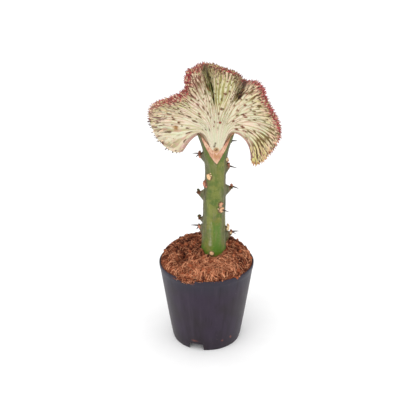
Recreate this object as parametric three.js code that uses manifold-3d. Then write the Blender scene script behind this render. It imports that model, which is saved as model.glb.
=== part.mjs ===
// Potted coral cactus: a crested fan grafted in a cleft on a spiny stock, in a nursery pot.
// Millimetres, +Z up, the origin on the ground at the middle of the pot, the front toward -Y.
import * as THREE from "three";
import { ConvexGeometry } from "three/addons/geometries/ConvexGeometry.js";
import Module from "manifold-3d";

const wasm = await Module();
wasm.setup();

// Pot
const POT_SIDES = 60;
const POT_HEIGHT = 108;
const RIM_R = 60;
const RIM_INNER_R = 58.4;
const BASE_R = 45.4;
const BASE_TOP_Z = 9;
const WALL = 1.2;
const FOOT_INNER_R = 41.6;
const FOOT_R = 42.9;
const CUP_FLOOR_Z = 1.4;
const RAISED_UNDER_Z = 10.8;
const RAISED_Z = 12;
const SLOT_COUNT = 3;
const SLOT_FIRST_DEG = -17.5;
const SLOT_WIDE = 19;
const SLOT_HIGH = 10.2;
const SLOT_INNER_R = 38.5;
const SLOT_DEEP = 15;
const DRAIN_COUNT = 6;
const DRAIN_RING_R = 34;
const DRAIN_R = 3.6;
const DRAIN_SIDES = 10;

// Soil
const GAP = 0.3;
const SOIL_SIDES = 48;
const SOIL_RINGS = 10;
const SOIL_EDGE_Z = 106.5;
const SOIL_MOUND = 15;
const SOIL_LUMP = 1.1;
const SOIL_TILT = 0.07;

// Stock
const STEM_SIDES = 22;
const STEM_ANGLES = 5;
const STEM_ANGLE_DEPTH = 0.035;
// height, middle in x, half width in x, half depth in y, squareness of the outline
const STEM = [
  [57, 9, 8, 8, 2],
  [60, 9, 12, 12, 2],
  [100, 9, 15, 14.8, 2],
  [121, 9, 15.4, 15.2, 2],
  [135, 9.1, 15, 14.8, 2],
  [153, 9.2, 14.2, 14.1, 2],
  [172, 9.4, 13.6, 13.6, 2],
  [190, 9.8, 13.7, 13.5, 2],
  [208, 10.3, 12.9, 13.1, 2],
  [225, 10.9, 12.3, 12.8, 2.1],
  [237, 10.9, 12.7, 12.9, 2.3],
  [245, 10.7, 13.8, 13, 2.5],
  [252, 10.9, 14.8, 13, 2.7],
  [259, 11, 16, 13, 2.9],
  [266, 11, 18.2, 12.8, 3.1],
  [272, 11, 20.8, 12, 3.1],
  [275, 11, 21.6, 10.5, 3],
];
// Cleft of the graft, seen from the front: x and z of its two upper corners and its point.
const CLEFT_TOP_Z = 290;
const CLEFT_POINT = [12.1, 250.5];
const CLEFT_LEFT = [-8, 275];
const CLEFT_RIGHT = [30.4, 275];
// The cut face slopes down from the scion to the skin, in front and behind.
const LIP_POINT = [12.8, 234.2];
const LIP_LEFT = [-26.6, 273];
const LIP_RIGHT = [49, 273];
const LIP_INNER_Y = 8.6;
const LIP_OUTER_Y = 16.5;
const CUT_REACH = 30;
// Leaf bases: height, turn from the front in degrees, rise, half width, then their spines,
// each as turn, tilt up and length.
const LEAF_BASES = [
  [124, -9, 1.2, 4.2, []],
  [145, 88, 8, 5, [[2, 7, 9.3], [-24, -14, 6]]],
  [153, 82, 4.6, 3, []],
  [154, -90, 5, 4.8, [[-4, 2, 10.5], [10, -60, 6]]],
  [164.6, -97, 5.4, 2.8, []],
  [181.5, 34, 2.4, 4.6, [[44, -13, 9.5]]],
  [188.4, 32, 0.9, 2.8, []],
  [205.5, 94, 8.4, 4.8, [[0, -25, 8.8]]],
  [199.6, -86, 7.6, 4.4, [[-4, -30, 3]]],
  [212.6, -62, 2.2, 4, []],
  [223.6, -36, 1.4, 4, []],
  [233.4, 84, 4.2, 4.4, [[4, -15, 10], [-26, 4, 5]]],
  [242.4, 72, 2, 3, []],
  [248.2, -86, 5.7, 4.4, [[-6, 3, 8], [12, -44, 5.5]]],
  [264.6, 95, 0.8, 2, [[0, -2, 8]]],
  [141, 205, 4, 4.6, [[10, 6, 8], [-12, -10, 8]]],
  [168, 150, 3.6, 4.6, [[10, -10, 8], [-12, 4, 8]]],
  [194, 214, 3.6, 4.4, [[10, -12, 8], [-12, 6, 8]]],
  [221, 165, 3.4, 4.2, [[10, -6, 7.5], [-12, -16, 8]]],
  [239, 224, 2.8, 4, [[10, 2, 7], [-12, -12, 7]]],
];
const LEAF_BASE_TALL = 1.7;
const LEAF_BASE_DROP = 2.4;
const LEAF_BASE_SINK = 3;
const LEAF_BASE_FLARE = 1.4;
const LEAF_BASE_TIP_SHARE = 0.55;
const LEAF_BASE_TILT_DEG = 12;
const LEAF_BASE_SIDES = 7;
const SPINE_SINK = 1.2;
const SPINE_SIDES = 4;
const SPINE_R = 0.8;
const SPINE_TIP_R = 0.12;

// Crest
// Growing edge, from the lower corner of the left lobe round to the tip of the right one.
const EDGE = [
  [-30, 8, 250],
  [-38, 13, 248],
  [-52, 18, 256],
  [-62, 19, 272],
  [-67, 15, 291],
  [-64, 6, 306],
  [-49, -4, 313],
  [-34, -11, 320],
  [-22, -21, 329],
  [-21, -32, 340],
  [-20, -36, 353],
  [-16, -29, 356],
  [-11, -12, 352],
  [-8, 5, 353],
  [-1, 12, 353],
  [8, 7, 353],
  [14, -6, 352],
  [24, -13, 351],
  [32, -10, 348],
  [37, 0, 342],
  [40, 10, 335],
  [47, 13, 331],
  [54, 8, 332],
  [60, -4, 334],
  [64, -12, 328],
  [69, -8, 311],
  [82, 1, 292],
  [89, 8, 272],
  [79, 8, 254],
  [67, 0, 243],
  [58, -5, 237],
  [54, -4, 243],
];
const EDGE_SAMPLES = 2400;
const HUB_X = 12;
const HUB_Z = 265;
const NECK_R = 10;
const NECK_FOOT_Z = 248;
const NECK_FOOT_HALF = 4;
const NECK_LENGTH = 15;
const NECK_SPREAD = 48;
const EVEN_RUN = 42;
const TURN_START_R = 18;
const TURN_POWER = 1.25;
// Ribs turn outward sooner on the left of the fan than on the right.
const SOONER_LEFT = 0.9;
const SOONER_RIGHT = 0.15;
const FOLD_START = 0.2;
const FOLD_POWER = 2.2;
const EDGE_HALF = 3.3;
const NECK_EXTRA_HALF = 5.7;
const SIDE_SHARE = 0.05;
const SIDE_THINNEST = 0.55;
const SIDE_BULGE = 0.9;
const RIBS = 64;
const RIB_COLUMNS = 3;
const COLUMNS = RIB_COLUMNS * RIBS;
const GROOVE_SHARE = 1.3;
// Share of the way from the neck to the growing edge, step in columns there, height of the ribs.
// Each halving of the step forks every rib in two.
const ROWS = [
  [0, 4, 0],
  [0.1, 4, 0.2],
  [0.2, 4, 0.45],
  [0.3, 2, 0.5],
  [0.42, 2, 0.7],
  [0.54, 2, 0.75],
  [0.64, 1, 0.55],
  [0.76, 1, 0.75],
  [0.89, 1, 0.75],
  [1, 1, 0.5],
];
const EDGE_CROWN = 1.6;
const TEETH = 176;
const TOOTH_BASE_R = 0.8;
const TOOTH_SINK = 0.9;
const TOOTH_SHORT = 2.3;
const TOOTH_VARY = 1.1;
const TOOTH_OFFSET = 1.7;
const TOOTH_LEAN = 0.25;
const TOOTH_LEAN_VARY = 0.3;
const TOOTH_SWAY = 0.7;

// Colour and roughness of each piece
const LOOKS = {
  pot: [0x33313a, 0.42],
  soil: [0x5a3a26, 0.95],
  stock: [0x56703a, 0.6],
  crest: [0xc9c79a, 0.55],
};

const rad = THREE.MathUtils.degToRad;
const clamp01 = (value) => Math.min(1, Math.max(0, value));
const vec = (x, y, z) => new THREE.Vector3(x, y, z);

// Repeatable value between 0 and 1 for a whole number.
function draw(index, row) {
  const wave = Math.sin(index * 12.9898 + row * 78.233) * 43758.5453;
  return wave - Math.floor(wave);
}

// Solids
function toSolid(points, triangles) {
  const mesh = new wasm.Mesh({
    numProp: 3,
    vertProperties: new Float32Array(points.flatMap((p) => [p.x, p.y, p.z])),
    triVerts: new Uint32Array(triangles.flat()),
  });
  return new wasm.Manifold(mesh);
}

function hullSolid(points) {
  const place = new ConvexGeometry(points).getAttribute("position");
  const seen = new Map();
  const corners = [];
  const triangles = [];
  for (let i = 0; i < place.count; i += 3) {
    const triangle = [];
    for (let k = i; k < i + 3; k += 1) {
      const key = [place.getX(k), place.getY(k), place.getZ(k)].map((v) => v.toFixed(4)).join();
      if (!seen.has(key)) {
        seen.set(key, corners.length);
        corners.push(vec(place.getX(k), place.getY(k), place.getZ(k)));
      }
      triangle.push(seen.get(key));
    }
    triangles.push(triangle);
  }
  return toSolid(corners, triangles);
}

function toMesh(solid, name) {
  const found = solid.getMesh();
  const geometry = new THREE.BufferGeometry();
  const place = new Float32Array((found.vertProperties.length / found.numProp) * 3);
  for (let i = 0; i < place.length / 3; i += 1) {
    for (let k = 0; k < 3; k += 1) place[3 * i + k] = found.vertProperties[found.numProp * i + k];
  }
  geometry.setAttribute("position", new THREE.BufferAttribute(place, 3));
  geometry.setIndex(new THREE.BufferAttribute(new Uint32Array(found.triVerts), 1));
  geometry.computeVertexNormals();
  const [color, roughness] = LOOKS[name];
  const material = new THREE.MeshStandardMaterial({ color, roughness, metalness: 0 });
  const mesh = new THREE.Mesh(geometry, material);
  mesh.name = name;
  return mesh;
}

// Closed skin through rings of equal count, each counter-clockwise from above, low to high.
function loft(rings) {
  const sides = rings[0].length;
  const points = rings.flat();
  const triangles = [];
  for (let row = 0; row + 1 < rings.length; row += 1) {
    for (let i = 0; i < sides; i += 1) {
      const a = row * sides + i;
      const b = row * sides + ((i + 1) % sides);
      triangles.push([a, b, b + sides], [a, b + sides, a + sides]);
    }
  }
  const last = (rings.length - 1) * sides;
  for (let i = 1; i + 1 < sides; i += 1) {
    triangles.push([0, i + 1, i], [last, last + i, last + i + 1]);
  }
  return toSolid(points, triangles);
}

// Turned solid from (radius, height) pairs, outside going up; lift moves a point by its place.
function revolve(profile, sides, lift = () => 0) {
  const points = [];
  const rings = profile.map(([radius, height]) => {
    const count = radius === 0 ? 1 : sides;
    const first = points.length;
    for (let i = 0; i < count; i += 1) {
      const turn = (2 * Math.PI * i) / sides;
      const x = radius * Math.cos(turn);
      const y = radius * Math.sin(turn);
      points.push(vec(x, y, height + lift(x, y, radius, height)));
    }
    return { first, count };
  });
  const triangles = [];
  for (let row = 0; row + 1 < rings.length; row += 1) {
    const low = rings[row];
    const high = rings[row + 1];
    for (let i = 0; i < sides; i += 1) {
      const a = low.first + (i % low.count);
      const b = low.first + ((i + 1) % low.count);
      const c = high.first + ((i + 1) % high.count);
      const d = high.first + (i % high.count);
      if (a !== b) triangles.push([a, b, c]);
      if (c !== d) triangles.push([a, c, d]);
    }
  }
  return toSolid(points, triangles);
}

// Round bar or cone between two points; tall stretches its root upright.
function taper(from, to, startR, endR, sides, tall = 1) {
  const along = to.clone().sub(from).normalize();
  const across = vec(-along.y, along.x, 0);
  if (across.length() < 0.01) across.set(1, 0, 0);
  across.normalize();
  const other = along.clone().cross(across);
  const ring = (centre, radius, stretch) => Array.from({ length: sides }, (unused, i) => {
    const turn = (2 * Math.PI * i) / sides;
    return centre.clone()
      .addScaledVector(across, radius * Math.cos(turn))
      .addScaledVector(other, stretch * radius * Math.sin(turn));
  });
  return loft([ring(from, startR, tall), ring(to, endR, 1)]);
}

// Pot
function potSlot(turnDeg) {
  const turn = rad(turnDeg);
  const out = vec(Math.sin(turn), -Math.cos(turn), 0);
  const side = vec(out.y, -out.x, 0);
  const corners = [];
  for (const reach of [SLOT_INNER_R, SLOT_INNER_R + SLOT_DEEP]) {
    for (const half of [-SLOT_WIDE / 2, SLOT_WIDE / 2]) {
      for (const z of [-1, SLOT_HIGH]) {
        corners.push(vec(0, 0, z).addScaledVector(out, reach).addScaledVector(side, half));
      }
    }
  }
  return hullSolid(corners);
}

// The floor is raised behind the foot's skirt, and only a cup in its middle stands on the ground.
function makePot() {
  const body = revolve([
    [0, 0], [22, 0], [24, RAISED_UNDER_Z], [44.3, RAISED_UNDER_Z], [42.4, 1.6],
    [FOOT_INNER_R, 0], [FOOT_R, 0], [43.6, 1.6], [BASE_R, BASE_TOP_Z],
    [58.6, 99.5], [59.4, 101], [RIM_R, 102], [RIM_R, POT_HEIGHT - 0.6], [59.4, POT_HEIGHT],
    [RIM_INNER_R, POT_HEIGHT], [57.2, 100], [44.7, RAISED_Z + WALL], [43.5, RAISED_Z],
    [22.8, RAISED_Z], [21, CUP_FLOOR_Z], [0, CUP_FLOOR_Z],
  ], POT_SIDES);
  const cuts = [];
  for (let i = 0; i < SLOT_COUNT; i += 1) {
    cuts.push(potSlot(SLOT_FIRST_DEG + (360 * i) / SLOT_COUNT));
  }
  for (let i = 0; i < DRAIN_COUNT; i += 1) {
    const turn = (2 * Math.PI * (i + 0.5)) / DRAIN_COUNT;
    const x = DRAIN_RING_R * Math.cos(turn);
    const y = DRAIN_RING_R * Math.sin(turn);
    cuts.push(taper(vec(x, y, 0), vec(x, y, RAISED_Z + 2), DRAIN_R, DRAIN_R, DRAIN_SIDES));
  }
  const solid = body.subtract(wasm.Manifold.union(cuts));
  return toMesh(solid, "pot");
}

// Soil
// Uneven heap from a few crossed waves, between about -2 and 2.
function soilLumps(x, y) {
  return Math.sin(0.31 * x + 0.9) * Math.sin(0.27 * y + 0.4)
    + 0.8 * Math.sin(0.52 * x - 0.44 * y)
    + 0.6 * Math.sin(0.71 * y + 0.3 * x + 1.7);
}

// The heap is flat at the rim, highest in the middle and lower toward the front.
function soilLift(x, y, radius) {
  const share = radius / (RIM_INNER_R - GAP);
  const mound = SOIL_MOUND * (1 - share ** 8) + SOIL_TILT * y * (1 - share ** 6);
  return mound + SOIL_LUMP * soilLumps(x, y) * (1 - share ** 8);
}

function makeSoil() {
  const edge = RIM_INNER_R - GAP;
  const profile = [
    [0, CUP_FLOOR_Z + GAP], [20.7, CUP_FLOOR_Z + GAP], [22.45, RAISED_Z + GAP],
    [43.3, RAISED_Z + GAP], [44.35, RAISED_Z + WALL + 0.1], [56.9, 100],
    [edge - 0.15, SOIL_EDGE_Z],
  ];
  const topStart = profile.length;
  for (let i = 1; i < SOIL_RINGS; i += 1) {
    const share = 1 - i / SOIL_RINGS;
    profile.push([(edge - 0.4) * (1 - (1 - share) ** 1.5), SOIL_EDGE_Z]);
  }
  profile.push([0, SOIL_EDGE_Z]);
  const topRadius = profile[topStart][0];
  const lift = (x, y, radius, height) => (
    height === SOIL_EDGE_Z && radius <= topRadius ? soilLift(x, y, radius) : 0
  );
  const scars = LEAF_BASES.map((base) => leafBase(base, GAP)[0]);
  const hole = wasm.Manifold.union([loft(stemRings(GAP)), ...scars]);
  return toMesh(revolve(profile, SOIL_SIDES, lift).subtract(hole), "soil");
}

// Stock
function stemRing([z, middle, halfX, halfY, power], grow) {
  return Array.from({ length: STEM_SIDES }, (unused, i) => {
    const turn = (2 * Math.PI * i) / STEM_SIDES;
    const c = Math.cos(turn);
    const s = Math.sin(turn);
    const square = (Math.abs(c) ** power + Math.abs(s) ** power) ** (-1 / power);
    const angled = 1 + STEM_ANGLE_DEPTH * Math.cos(STEM_ANGLES * (turn + Math.PI / 2));
    const scale = square * angled;
    return vec(middle + (halfX * scale + grow) * c, (halfY * scale + grow) * s, z);
  });
}

function stemRings(grow) {
  return STEM.map((row, i) => {
    const rise = i === 0 ? -grow : i === STEM.length - 1 ? grow : 0;
    return stemRing([row[0] + rise, ...row.slice(1)], grow);
  });
}

// Wedge of the cleft, drawn in by shrink on its two sides; reach is its half depth in y.
function cleft(shrink, reach) {
  const slope = (CLEFT_RIGHT[0] - CLEFT_LEFT[0]) / 2 / (CLEFT_RIGHT[1] - CLEFT_POINT[1]);
  const rise = shrink * Math.hypot(1, 1 / slope);
  const corners = [];
  for (const y of [-reach, reach]) {
    corners.push(vec(CLEFT_POINT[0], y, CLEFT_POINT[1] + rise));
    for (const corner of [CLEFT_LEFT, CLEFT_RIGHT]) {
      const stretch = (CLEFT_TOP_Z - CLEFT_POINT[1]) / (corner[1] - CLEFT_POINT[1]);
      const x = CLEFT_POINT[0] + (corner[0] - CLEFT_POINT[0]) * stretch;
      corners.push(vec(x, y, CLEFT_TOP_Z + rise));
    }
  }
  return hullSolid(corners);
}

// Sloping cut face between the scion and the skin of the stock.
function cleftLip(sign) {
  const corners = [];
  const faces = [
    [LIP_INNER_Y, CLEFT_POINT, CLEFT_LEFT, CLEFT_RIGHT],
    [LIP_OUTER_Y, LIP_POINT, LIP_LEFT, LIP_RIGHT],
  ];
  for (const [reach, point, left, right] of faces) {
    for (const [x, z] of [point, left, right]) {
      corners.push(vec(x, sign * reach, z));
    }
    corners.push(vec(left[0], sign * reach, CLEFT_TOP_Z));
    corners.push(vec(right[0], sign * reach, CLEFT_TOP_Z));
  }
  return hullSolid(corners);
}

function stemRowAt(z) {
  const upper = STEM.findIndex((row) => row[0] >= z);
  const low = STEM[upper - 1];
  const high = STEM[upper];
  const share = (z - low[0]) / (high[0] - low[0]);
  return low.map((value, k) => value + (high[k] - value) * share);
}

function leafBase([z, turnDeg, rise, half, spines], grow = 0) {
  const row = stemRowAt(z);
  const outward = (deg, tiltDeg) => vec(
    Math.sin(rad(deg)) * Math.cos(rad(tiltDeg)),
    -Math.cos(rad(deg)) * Math.cos(rad(tiltDeg)),
    Math.sin(rad(tiltDeg)),
  );
  const out = outward(turnDeg, 0);
  const skin = vec(row[1] + row[2] * out.x, row[3] * out.y, z);
  const root = skin.clone().addScaledVector(out, -LEAF_BASE_SINK);
  root.z -= LEAF_BASE_DROP;
  const top = skin.clone().addScaledVector(outward(turnDeg, LEAF_BASE_TILT_DEG), rise + grow);
  const rootR = half + LEAF_BASE_FLARE + grow;
  const topR = half * LEAF_BASE_TIP_SHARE + grow;
  const parts = [taper(root, top, rootR, topR, LEAF_BASE_SIDES, LEAF_BASE_TALL)];
  spines.forEach(([turn, tilt, length]) => {
    const start = top.clone().addScaledVector(out, -SPINE_SINK);
    const tip = top.clone().addScaledVector(outward(turnDeg + turn, tilt), length);
    parts.push(taper(start, tip, SPINE_R, SPINE_TIP_R, SPINE_SIDES));
  });
  return parts;
}

function makeStock() {
  const bases = LEAF_BASES.flatMap((base) => leafBase(base));
  const body = wasm.Manifold.union([loft(stemRings(0)), ...bases]);
  const cuts = wasm.Manifold.union([cleft(0, CUT_REACH), cleftLip(-1), cleftLip(1)]);
  return toMesh(body.subtract(cuts), "stock");
}

// Crest
// Smooth curve through the growing edge, then points on it at equal steps of length.
function edgePoint(share) {
  const first = EDGE[0].map((v, k) => 2 * v - EDGE[1][k]);
  const final = EDGE.at(-1).map((v, k) => 2 * v - EDGE.at(-2)[k]);
  const control = [first, ...EDGE, final];
  const pieces = control.length - 3;
  const place = Math.min(share * pieces, pieces - 1e-9);
  const i = Math.floor(place);
  const f = place - i;
  const weights = [
    (1 - f) ** 3 / 6,
    (3 * f ** 3 - 6 * f ** 2 + 4) / 6,
    (-3 * f ** 3 + 3 * f ** 2 + 3 * f + 1) / 6,
    f ** 3 / 6,
  ];
  const blend = (k) => weights.reduce((sum, weight, n) => sum + weight * control[i + n][k], 0);
  return vec(blend(0), blend(1), blend(2));
}

function measuredEdge() {
  const points = [];
  const lengths = [0];
  for (let i = 0; i <= EDGE_SAMPLES; i += 1) {
    points.push(edgePoint(i / EDGE_SAMPLES));
    if (i > 0) lengths.push(lengths[i - 1] + points[i].distanceTo(points[i - 1]));
  }
  return { points, lengths };
}

const edgeLine = measuredEdge();

function edgeAt(share) {
  const want = clamp01(share) * edgeLine.lengths.at(-1);
  let low = 0;
  let high = EDGE_SAMPLES;
  while (high - low > 1) {
    const middle = (low + high) >> 1;
    if (edgeLine.lengths[middle] <= want) low = middle;
    else high = middle;
  }
  const span = edgeLine.lengths[high] - edgeLine.lengths[low];
  const f = (want - edgeLine.lengths[low]) / span;
  return edgeLine.points[low].clone().lerp(edgeLine.points[high], f);
}

// Middle surface of the fan: across runs along the growing edge, up from the neck to it.
function fanPoint(across, up) {
  const edge = edgeAt(across);
  const reach = Math.hypot(edge.x - HUB_X, edge.z - HUB_Z);
  let lean = THREE.MathUtils.radToDeg(Math.atan2(edge.z - HUB_Z, edge.x - HUB_X)) - 90;
  if (lean < -180) lean += 360;
  const even = NECK_SPREAD * (1 - 2 * clamp01(across));
  const r = NECK_R + EVEN_RUN * up + (reach - NECK_R - EVEN_RUN) * up * up;
  const past = clamp01((r - TURN_START_R) / (reach - TURN_START_R));
  const early = SOONER_LEFT + (SOONER_RIGHT - SOONER_LEFT) * clamp01(across);
  const turned = past ** TURN_POWER * (1 + early * (1 - past));
  const angle = rad(90 + even + (lean - even) * turned);
  const neck = clamp01(1 - (r - NECK_R) / NECK_LENGTH) ** 2;
  const evenAngle = rad(90 + even);
  const footX = (even / NECK_SPREAD) * -NECK_FOOT_HALF - NECK_R * Math.cos(evenAngle);
  const footZ = NECK_FOOT_Z - HUB_Z - NECK_R * Math.sin(evenAngle);
  const fold = clamp01(((r - NECK_R) / (reach - NECK_R) - FOLD_START) / (1 - FOLD_START));
  return vec(
    HUB_X + r * Math.cos(angle) + footX * neck,
    edge.y * fold ** FOLD_POWER,
    HUB_Z + r * Math.sin(angle) + footZ * neck,
  );
}

// Directions on the fan: along the edge, up the rib, and out of its front face.
function fanFrame(across, up) {
  const step = 0.002;
  const left = fanPoint(Math.max(0, across - step), up);
  const right = fanPoint(Math.min(1, across + step), up);
  const below = fanPoint(across, Math.max(0, up - step));
  const above = fanPoint(across, Math.min(1, up + step));
  const rib = above.sub(below).normalize();
  const out = right.sub(left).cross(rib).normalize();
  const along = rib.clone().cross(out).normalize();
  return { rib, out, along };
}

function halfThickness(across, up) {
  const inward = clamp01(Math.min(across, 1 - across) / SIDE_SHARE);
  const rounded = SIDE_THINNEST + (1 - SIDE_THINNEST) * Math.sqrt(1 - (1 - inward) ** 2);
  return (EDGE_HALF + NECK_EXTRA_HALF * (1 - up) ** 2) * rounded;
}

function fanSolid() {
  const points = [];
  const triangles = [];
  const add = (point) => points.push(point) - 1;
  const face = (a, b, c, front) => triangles.push(front ? [a, b, c] : [a, c, b]);

  const rows = ROWS.map(([up, skip, height]) => {
    const row = { skip, front: [], back: [] };
    for (let i = 0; i <= COLUMNS; i += skip) {
      const across = i / COLUMNS;
      const centre = fanPoint(across, up);
      const { out } = fanFrame(across, up);
      const inGroove = (i / skip) % RIB_COLUMNS === 0;
      const ridge = inGroove ? -GROOVE_SHARE * height : height;
      const half = halfThickness(across, up) + ridge;
      row.front[i] = add(centre.clone().addScaledVector(out, half));
      row.back[i] = add(centre.clone().addScaledVector(out, -half));
    }
    row.ends = [0, 1].map((across) => {
      const { along } = fanFrame(across, up);
      const reach = halfThickness(across, up) * (across === 0 ? -SIDE_BULGE : SIDE_BULGE);
      return add(fanPoint(across, up).addScaledVector(along, reach));
    });
    return row;
  });

  // Cell between two rows; where ribs fork the upper row has twice the columns.
  const cell = (low, high, i, lowRow, highRow, front) => {
    const next = i + lowRow.skip;
    if (lowRow.skip === highRow.skip) {
      face(low[i], low[next], high[next], front);
      face(low[i], high[next], high[i], front);
      return;
    }
    const between = i + highRow.skip;
    face(low[i], high[between], high[i], front);
    face(low[i], low[next], high[between], front);
    face(low[next], high[next], high[between], front);
  };
  const bridge = (a, b, c, d) => triangles.push([a, b, c], [a, c, d]);
  for (let k = 0; k + 1 < rows.length; k += 1) {
    const low = rows[k];
    const high = rows[k + 1];
    for (let i = 0; i < COLUMNS; i += low.skip) {
      cell(low.front, high.front, i, low, high, true);
      cell(low.back, high.back, i, low, high, false);
    }
    bridge(low.front[COLUMNS], low.ends[1], high.ends[1], high.front[COLUMNS]);
    bridge(low.ends[1], low.back[COLUMNS], high.back[COLUMNS], high.ends[1]);
    bridge(low.back[0], low.ends[0], high.ends[0], high.back[0]);
    bridge(low.ends[0], low.front[0], high.front[0], high.ends[0]);
  }

  const foot = rows[0];
  for (let i = 0; i < COLUMNS; i += foot.skip) {
    bridge(foot.front[i], foot.back[i], foot.back[i + foot.skip], foot.front[i + foot.skip]);
  }
  triangles.push([foot.ends[0], foot.back[0], foot.front[0]]);
  triangles.push([foot.ends[1], foot.front[COLUMNS], foot.back[COLUMNS]]);

  const top = rows.at(-1);
  const crown = [];
  for (let i = 0; i <= COLUMNS; i += 1) {
    const across = i / COLUMNS;
    const { rib } = fanFrame(across, 1);
    crown[i] = add(fanPoint(across, 1).addScaledVector(rib, EDGE_CROWN));
  }
  for (let i = 0; i < COLUMNS; i += 1) {
    bridge(top.front[i], top.front[i + 1], crown[i + 1], crown[i]);
    bridge(top.back[i + 1], top.back[i], crown[i], crown[i + 1]);
  }
  triangles.push([top.ends[0], top.front[0], crown[0]], [top.ends[0], crown[0], top.back[0]]);
  triangles.push([top.ends[1], crown[COLUMNS], top.front[COLUMNS]]);
  triangles.push([top.ends[1], top.back[COLUMNS], crown[COLUMNS]]);
  return toSolid(points, triangles);
}

// Two rows of small soft spines, one toward each face, along the growing edge.
function edgeTeeth() {
  return Array.from({ length: TEETH }, (unused, i) => {
    const across = (i + 0.5 + 0.5 * (draw(i, 1) - 0.5)) / TEETH;
    const side = i % 2 === 0 ? 1 : -1;
    const { rib, out, along } = fanFrame(across, 1);
    const base = fanPoint(across, 1).addScaledVector(out, side * TOOTH_OFFSET);
    const lean = rib.clone()
      .addScaledVector(out, side * (TOOTH_LEAN + TOOTH_LEAN_VARY * draw(i, 2)))
      .addScaledVector(along, TOOTH_SWAY * (draw(i, 3) - 0.5))
      .normalize();
    const tip = base.clone().addScaledVector(lean, TOOTH_SHORT + TOOTH_VARY * draw(i, 4));
    const root = base.clone().addScaledVector(lean, -TOOTH_SINK);
    return taper(root, tip, TOOTH_BASE_R, SPINE_TIP_R, 3);
  });
}

function makeCrest() {
  const whole = wasm.Manifold.union([fanSolid(), ...edgeTeeth()]);
  const cheeks = loft(stemRings(GAP)).subtract(cleft(GAP, CUT_REACH));
  return toMesh(whole.subtract(cheeks), "crest");
}

const plant = new THREE.Group();
plant.name = "coral_cactus";
plant.add(makePot(), makeSoil(), makeStock(), makeCrest());

export default plant;
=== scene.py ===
"""Looks of a potted coral cactus: a crested fan grafted on a spiny stock, in a nursery pot.

Shapes are worked out in millimetres in the part's own frame (+Z up, front toward -Y) and
turned into metres when each mesh is made.
"""

import functools
import math

import bmesh
import bpy
import numpy as np
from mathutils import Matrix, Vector


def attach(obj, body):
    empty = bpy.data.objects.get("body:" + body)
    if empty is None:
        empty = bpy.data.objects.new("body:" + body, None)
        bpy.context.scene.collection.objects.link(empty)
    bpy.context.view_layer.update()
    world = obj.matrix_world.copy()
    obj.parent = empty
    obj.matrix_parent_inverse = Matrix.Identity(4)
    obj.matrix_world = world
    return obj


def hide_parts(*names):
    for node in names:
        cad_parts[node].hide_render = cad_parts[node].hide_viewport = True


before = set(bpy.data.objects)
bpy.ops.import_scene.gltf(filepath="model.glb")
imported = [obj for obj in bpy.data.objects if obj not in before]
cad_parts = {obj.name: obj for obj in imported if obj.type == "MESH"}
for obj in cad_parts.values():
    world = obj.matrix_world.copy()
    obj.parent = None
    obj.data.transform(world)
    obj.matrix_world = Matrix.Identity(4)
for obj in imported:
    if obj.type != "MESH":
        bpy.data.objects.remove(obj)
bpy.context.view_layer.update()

MM = 0.001

# Camera, from the ellipse of the pot's rim in the photograph
CAMERA_AT = (0.0019, -0.80, 0.525)
CAMERA_DOWN_DEG = 23.4
FOCAL_SHARE = 709 / 416
SENSOR = 36

# Studio: the way each light shines, its strength and its angle in degrees
LIGHTS = {"key": ((0.45, 0.75, -0.9), 0.78, 60), "fill": ((-0.7, 0.6, -0.6), 0.3, 70)}
SKY_STRENGTH = 1.02
FLOOR_HALF = 14000

# Crest: growing edge from the left lobe's lower corner round to the right lobe's tip
EDGE = [
    (-30, 8, 250), (-38, 13, 248), (-52, 18, 256), (-62, 19, 272),
    (-67, 15, 291), (-64, 6, 306), (-49, -4, 313), (-34, -11, 320),
    (-22, -21, 329), (-21, -32, 340), (-20, -36, 353), (-16, -29, 356),
    (-11, -12, 352), (-8, 5, 353), (-1, 12, 353), (8, 7, 353),
    (14, -6, 352), (24, -13, 351), (32, -10, 348), (37, 0, 342),
    (40, 10, 335), (47, 13, 331), (54, 8, 332), (60, -4, 334),
    (64, -12, 328), (69, -8, 311), (82, 1, 292), (89, 8, 272),
    (79, 8, 254), (67, 0, 243), (58, -5, 237), (54, -4, 243),
]
HUB_X = 12
HUB_Z = 265
NECK_R = 10
NECK_FOOT_Z = 248
NECK_FOOT_HALF = 4
NECK_LENGTH = 15
NECK_SPREAD = 48
EVEN_RUN = 42
TURN_START_R = 18
TURN_POWER = 1.25
FOLD_START = 0.2
FOLD_POWER = 2.2
EDGE_HALF = 3.3
NECK_EXTRA_HALF = 5.7
SIDE_SHARE = 0.05
EDGE_CROWN = 1.6
CREST_COLUMNS = 548
CREST_CAP_STEPS = 7
RIBS = 64
BEAD_TIP = 0.86
BEAD_START_R = 30
BEAD_RATE = 0.058
BEAD_QUICKENING = 0.00085
FRONT_SEED = 3
BACK_SEED = 11
# Rows of small tubercles on each face: distance from the edge, spacing, radius, length, lift
FACE_ROWS = [
    (2.0, 2.7, 1.0, 6.0, 20), (4.6, 3.0, 1.05, 7.0, 15), (8.2, 3.6, 1.1, 8.0, 11),
    (12.4, 5.2, 1.1, 8.8, 9), (17.5, 9.0, 1.1, 9.4, 7),
]
# Rows on the crown of the edge: place across its thickness
CROWN_OFFSETS = (-2.3, 0.0, 2.3)
CROWN_ROW = (2.9, 1.05, 4.4)
# The crown's top, where the teeth are shorter and duller
SHORT_TEETH = [0.47, 0.51, 0.61, 0.65]

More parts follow.
